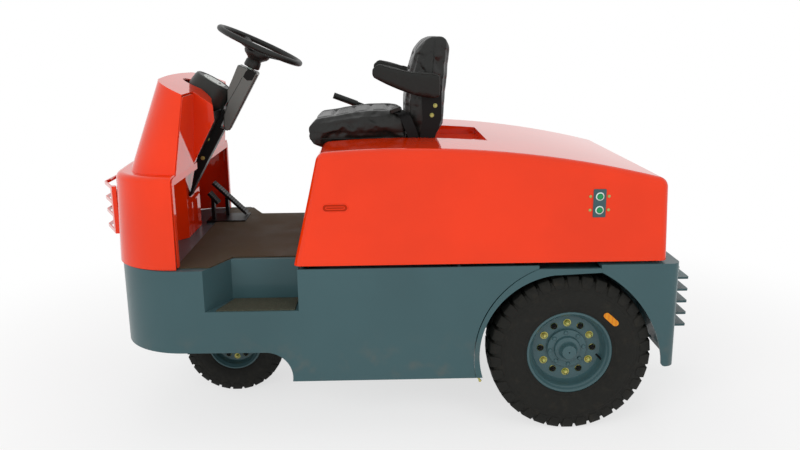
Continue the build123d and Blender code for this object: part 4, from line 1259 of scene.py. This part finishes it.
class TRACTOR_OT_seat(bpy.types.Operator):
    """Build the padded seat with its piping, brackets, bolts and buckle"""

    bl_idname = "tractor.seat"
    bl_label = "Seat"

    def execute(self, context):
        dress(["seat_rails", "seat_pan"], "black_paint", 0.0012)
        dress(["armrest_pins"], "steel")
        self.cushion()
        self.backrest()
        for name, side in SIDES:
            self.armrest(name, side)
        self.brackets()
        self.buckle()
        return {"FINISHED"}

    def cushion(self):
        """Cushion with a seam along each bolster, channels across its middle and a skirt seam."""
        made = pad_mesh("seat_cushion_cover", CUSHION_SIDE, CUSHION_HALF)
        puff(made, 4.0, 0.014, 9)

        def bolster(spot, normal):
            inner = CUSHION_SEAM + 0.02 * max(0.0, spot.x - 0.2)
            return abs(abs(spot.y) - inner) if normal.z > 0.2 or normal.x > 0.6 else None

        def channel(spot, normal):
            if abs(spot.y) > 0.142 or normal.z < 0.3:
                return None
            return min(abs(spot.x - place) for place in CUSHION_CHANNELS)

        def skirt(spot, normal):
            upright = abs(normal.z) < 0.75 and spot.z < 1.23
            return abs(spot.z - SKIRT_SEAM_Z) if upright else None

        press_seams(made, [bolster, channel], 0.0085, 0.010)
        press_seams(made, [skirt], 0.003, 0.006)
        finish_pad(made, "vinyl", "seat", ("seat_cushion",))
        for name, side in SIDES:
            starts = []
            for k in range(41):
                along = 0.39 * k / 40
                starts.append((0.03 + along, side * (CUSHION_SEAM + 0.02 * max(0.0, along - 0.17)), 1.4))
            welt(f"cushion_welt_{name}", made, starts, lambda s: (0, 0, -1), "seat")
        outline = []
        for k in range(90):
            outline.append(Vector((0.22, 0, 0)) + polar(0.5, FULL_TURN * k / 90, 1.182))
        welt("cushion_hem", made, outline, lambda s: (0.22 - s.x, -s.y, 0), "seat", closed=True)

    def backrest(self):
        """Backrest, narrower at its top, with seams, channels and piping."""

        def narrow(z):
            return 1.0 - 0.16 * max(0.0, (z - 1.42) / 0.2) ** 1.6

        made = pad_mesh("seat_back_cover", BACK_SIDE, BACK_HALF, narrow)
        puff(made, 4.0, 0.012, 9)

        def bolster(spot, normal):
            return abs(abs(spot.y) - BACK_SEAM * narrow(spot.z)) if normal.x > 0.35 else None

        def channel(spot, normal):
            if abs(spot.y) > 0.12 or normal.x < 0.4:
                return None
            return min(abs(spot.z - place) for place in BACK_CHANNELS)

        press_seams(made, [bolster, channel], 0.007, 0.010)
        finish_pad(made, "vinyl", "seat", ("seat_backrest",))
        rise = [1.19 + 0.40 * k / 40 for k in range(41)]
        for name, side in SIDES:
            starts = [(0.5, side * BACK_SEAM * narrow(z), z) for z in rise]
            welt(f"back_welt_{name}", made, starts, lambda s: (-1, 0, 0), "seat")
            starts = [(-0.104 - 0.075 * (z - 1.19) + 0.02, side * 0.6, z) for z in rise]
            welt(f"back_side_welt_{name}", made, starts, lambda s: (0, -1 if s.y > 0 else 1, 0), "seat")

    def armrest(self, name, side):
        """Armrest pad with piping along both edges of its top."""
        low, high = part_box(f"armrest_{name}")
        middle = (low.y + high.y) / 2
        made = pad_mesh(f"armrest_{name}_pad", ARM_SIDE, (high.y - low.y) / 2 - 0.002)
        for vertex in made.data.vertices:
            vertex.co.y += middle
        puff(made, 2.0, 0.003, 4)
        body = f"armrest_{name}"
        finish_pad(made, "arm_skin", body, (body,))
        for edge in (1, -1):
            starts = [(-0.115 + 0.25 * k / 35, middle + edge * ARM_SEAM, 1.7) for k in range(36)]
            title = f"arm_welt_{name}_{'outer' if edge == side else 'inner'}"
            welt(title, made, starts, lambda s: (0, 0, -1), body, radius=0.0018)

    def brackets(self):
        """Side plates' bolts, two on each side of the seat."""
        low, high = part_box("seat_pan")
        bm = bmesh.new()
        for face, outward in ((high.y, 1), (low.y, -1)):
            for x, z in SEAT_BOLTS:
                hex_head(bm, stand((x, face, z), (0, outward, 0)), 0.0135, 0.008)
        piece("seat_bolts", bm, "zinc", "seat")

    def buckle(self):
        """Belt buckle on its webbing, between cushion and backrest."""
        bm = bmesh.new()
        place = stand((0.056, 0.207, 1.299), (0.35, 0.1, 1), (1, 0, 0))
        plate(bm, place, rounded(0.046, 0.024, 0.006, 3), -0.008, 0.008)
        piece("belt_buckle", bm, "wheel_grip", "seat", edge=0.002)
        bm = bmesh.new()
        stations = []
        for step, point in enumerate(WEBBING):
            spot = Vector(point)
            before, after = WEBBING[max(0, step - 1)], WEBBING[min(len(WEBBING) - 1, step + 1)]
            ahead = (Vector(after) - Vector(before)).normalized()
            flat = Vector((0, 1, 0)) if step > 1 else Vector((0, 0.4, 1))
            wide = ahead.cross(flat).normalized() * WEBBING_HALF
            thin = wide.cross(ahead).normalized() * WEBBING_THICK / 2
            stations.append([spot + wide + thin, spot - wide + thin, spot - wide - thin, spot + wide - thin])
        strip(bm, stations)
        piece("belt_webbing", bm, "black_paint", "seat")


# Stage

# Share of plain white that the eye sees in the floor near the tractor, where its shadow falls
FLOOR_WHITE = 0.68
# Distances from the tractor's middle between which the floor turns white
FLOOR_FADE = (1.5, 3.2)
FLOOR_HALF = 14
# Below the tyres, which stand on the ground
FLOOR_DROP = 0.0006
# Lamps: place, target, width and height, share of the key's power
LAMPS = {
    "key": ((2.8, 4.6, 3.0), (0.1, 0.3, 0.7), (3.2, 2.2), 1.0),
    "fill": ((-3.2, 4.0, 2.0), (-0.3, 0.2, 0.6), (2.4, 2.4), 0.50),
    "top": ((0.0, -0.6, 4.6), (0, 0, 0.6), (4.5, 2.5), 0.25),
    "back": ((0.4, -4.6, 2.6), (0, 0, 0.7), (3.5, 2.0), 0.5),
}


class Backdrop(Graph):
    """Nodes of the floor or the world: white to the eye and in reflections, plain to light."""

    def __init__(self, owner, output):
        owner.use_nodes = True
        super().__init__(owner.node_tree)
        self.tree.nodes.clear()
        self.output = output

    def close(self, lit, seen, share):
        """Joins the shader for light and the one for the eye, which has this share."""
        kinds = ("Is Camera Ray", "Is Glossy Ray", "Is Transmission Ray")
        camera, glossy, through = [self.node("ShaderNodeLightPath", output=kind) for kind in kinds]
        eye = (camera + glossy + through) * share
        mixed = self.node("ShaderNodeMixShader", None, {0: eye, 1: lit, 2: seen})
        self.node(self.output, None, {0: mixed}, None)


class TRACTOR_OT_stage(bpy.types.Operator):
    """Set the floor, lamps, world and the camera at the photograph's angle"""

    bl_idname = "tractor.stage"
    bl_label = "Stage"

    def execute(self, context):
        scene = context.scene
        settings = scene.tractor_stage
        scene.view_settings.view_transform = "Standard"
        self.floor()
        self.world(settings.sky)
        self.lamps(settings.key)
        self.camera(settings)
        return {"FINISHED"}

    def floor(self):
        """Pale floor that holds the shadow and turns white further out."""
        bm = bmesh.new()
        corners = ((-1, -1), (1, -1), (1, 1), (-1, 1))
        bm.faces.new([bm.verts.new((x * FLOOR_HALF, y * FLOOR_HALF, -FLOOR_DROP)) for x, y in corners])
        data = bpy.data.meshes.new("studio_floor")
        bm.to_mesh(data)
        bm.free()
        made = bpy.data.objects.new("studio_floor", data)
        bpy.context.scene.collection.objects.link(made)
        material = bpy.data.materials.new("studio_floor")
        floor = Backdrop(material, "ShaderNodeOutputMaterial")
        where = floor.node("ShaderNodeTexCoord", output="Object")
        away = floor.node("ShaderNodeVectorMath", {"operation": "LENGTH"}, {0: where}, "Value")
        share = FLOOR_WHITE + away.step(*FLOOR_FADE) * (1 - FLOOR_WHITE)
        lit = floor.node("ShaderNodeBsdfDiffuse", None, {"Color": (0.93, 0.93, 0.93)})
        seen = floor.node("ShaderNodeEmission", None, {"Color": (1, 1, 1), "Strength": 1.0})
        floor.close(lit, seen, share)
        data.materials.append(material)

    def world(self, strength):
        """Even light from all round, which the eye sees as white."""
        world = bpy.data.worlds.new("studio")
        bpy.context.scene.world = world
        sky = Backdrop(world, "ShaderNodeOutputWorld")
        lit = sky.node("ShaderNodeBackground", None, {"Color": (1, 1, 1), "Strength": strength})
        seen = sky.node("ShaderNodeBackground", None, {"Color": (1, 1, 1), "Strength": 1.0})
        sky.close(lit, seen, 1.0)

    def lamps(self, power):
        """Large soft lamps, which gloss doesn't show."""
        for name, (place, target, size, share) in LAMPS.items():
            data = bpy.data.lights.new(name, "AREA")
            data.shape = "RECTANGLE"
            data.size, data.size_y = size
            data.energy = power * share
            lamp = bpy.data.objects.new(name, data)
            bpy.context.scene.collection.objects.link(lamp)
            lamp.location = place
            lamp.visible_glossy = False
            aim = Vector(target) - Vector(place)
            lamp.rotation_euler = aim.to_track_quat("-Z", "Y").to_euler()

    def camera(self, settings):
        """Camera from its place, turn, dip and lean, looking at the tractor's left side."""
        yaw, pitch, roll = settings.yaw, settings.pitch, settings.roll
        level = Vector((math.sin(yaw), -math.cos(yaw), 0))
        right = Vector((-math.cos(yaw), -math.sin(yaw), 0))
        ahead = level * math.cos(pitch) - Vector((0, 0, math.sin(pitch)))
        up = level * math.sin(pitch) + Vector((0, 0, math.cos(pitch)))
        x = right * math.cos(roll) + up * math.sin(roll)
        y = up * math.cos(roll) - right * math.sin(roll)
        data = bpy.data.cameras.new("photo_camera")
        data.lens = settings.lens
        data.sensor_fit = "HORIZONTAL"
        data.sensor_width = 36
        made = bpy.data.objects.new("photo_camera", data)
        bpy.context.scene.collection.objects.link(made)
        matrix = Matrix((x, y, -ahead)).transposed().to_4x4()
        matrix.translation = Vector(settings.place)
        made.matrix_world = matrix
        bpy.context.scene.camera = made


class TRACTOR_PT_panel(bpy.types.Panel):
    """Lists the tractor's builders and settings"""

    bl_idname = "TRACTOR_PT_panel"
    bl_label = "Tow Tractor"
    bl_space_type = "VIEW_3D"
    bl_region_type = "UI"
    bl_category = "Tow Tractor"

    def draw(self, context):
        for operator in OPERATORS:
            self.layout.operator(operator.bl_idname)
        for group in (context.scene.tractor_paint, context.scene.tractor_sizes, context.scene.tractor_stage):
            box = self.layout.box()
            for setting in group.__annotations__:
                box.prop(group, setting)


GROUPS = (
    (TractorPaint, "tractor_paint"),
    (TractorSizes, "tractor_sizes"),
    (TractorStage, "tractor_stage"),
)
OPERATORS = (
    TRACTOR_OT_stage,
    TRACTOR_OT_hull,
    TRACTOR_OT_wheels,
    TRACTOR_OT_body,
    TRACTOR_OT_controls,
    TRACTOR_OT_fittings,
    TRACTOR_OT_seat,
)


def register():
    for group, name in GROUPS:
        bpy.utils.register_class(group)
        setattr(bpy.types.Scene, name, PointerProperty(type=group))
    for made in (*OPERATORS, TRACTOR_PT_panel):
        bpy.utils.register_class(made)


def unregister():
    for made in reversed((*OPERATORS, TRACTOR_PT_panel)):
        bpy.utils.unregister_class(made)
    for group, name in reversed(GROUPS):
        delattr(bpy.types.Scene, name)
        bpy.utils.unregister_class(group)


def main():
    """Builds all; the seat comes early, so that its cloth runs before the solids have modifiers."""
    register()
    bpy.ops.tractor.stage()
    bpy.ops.tractor.seat()
    bpy.ops.tractor.hull()
    bpy.ops.tractor.wheels()
    bpy.ops.tractor.body()
    bpy.ops.tractor.controls()
    bpy.ops.tractor.fittings()


if __name__ == "__main__":
    main()
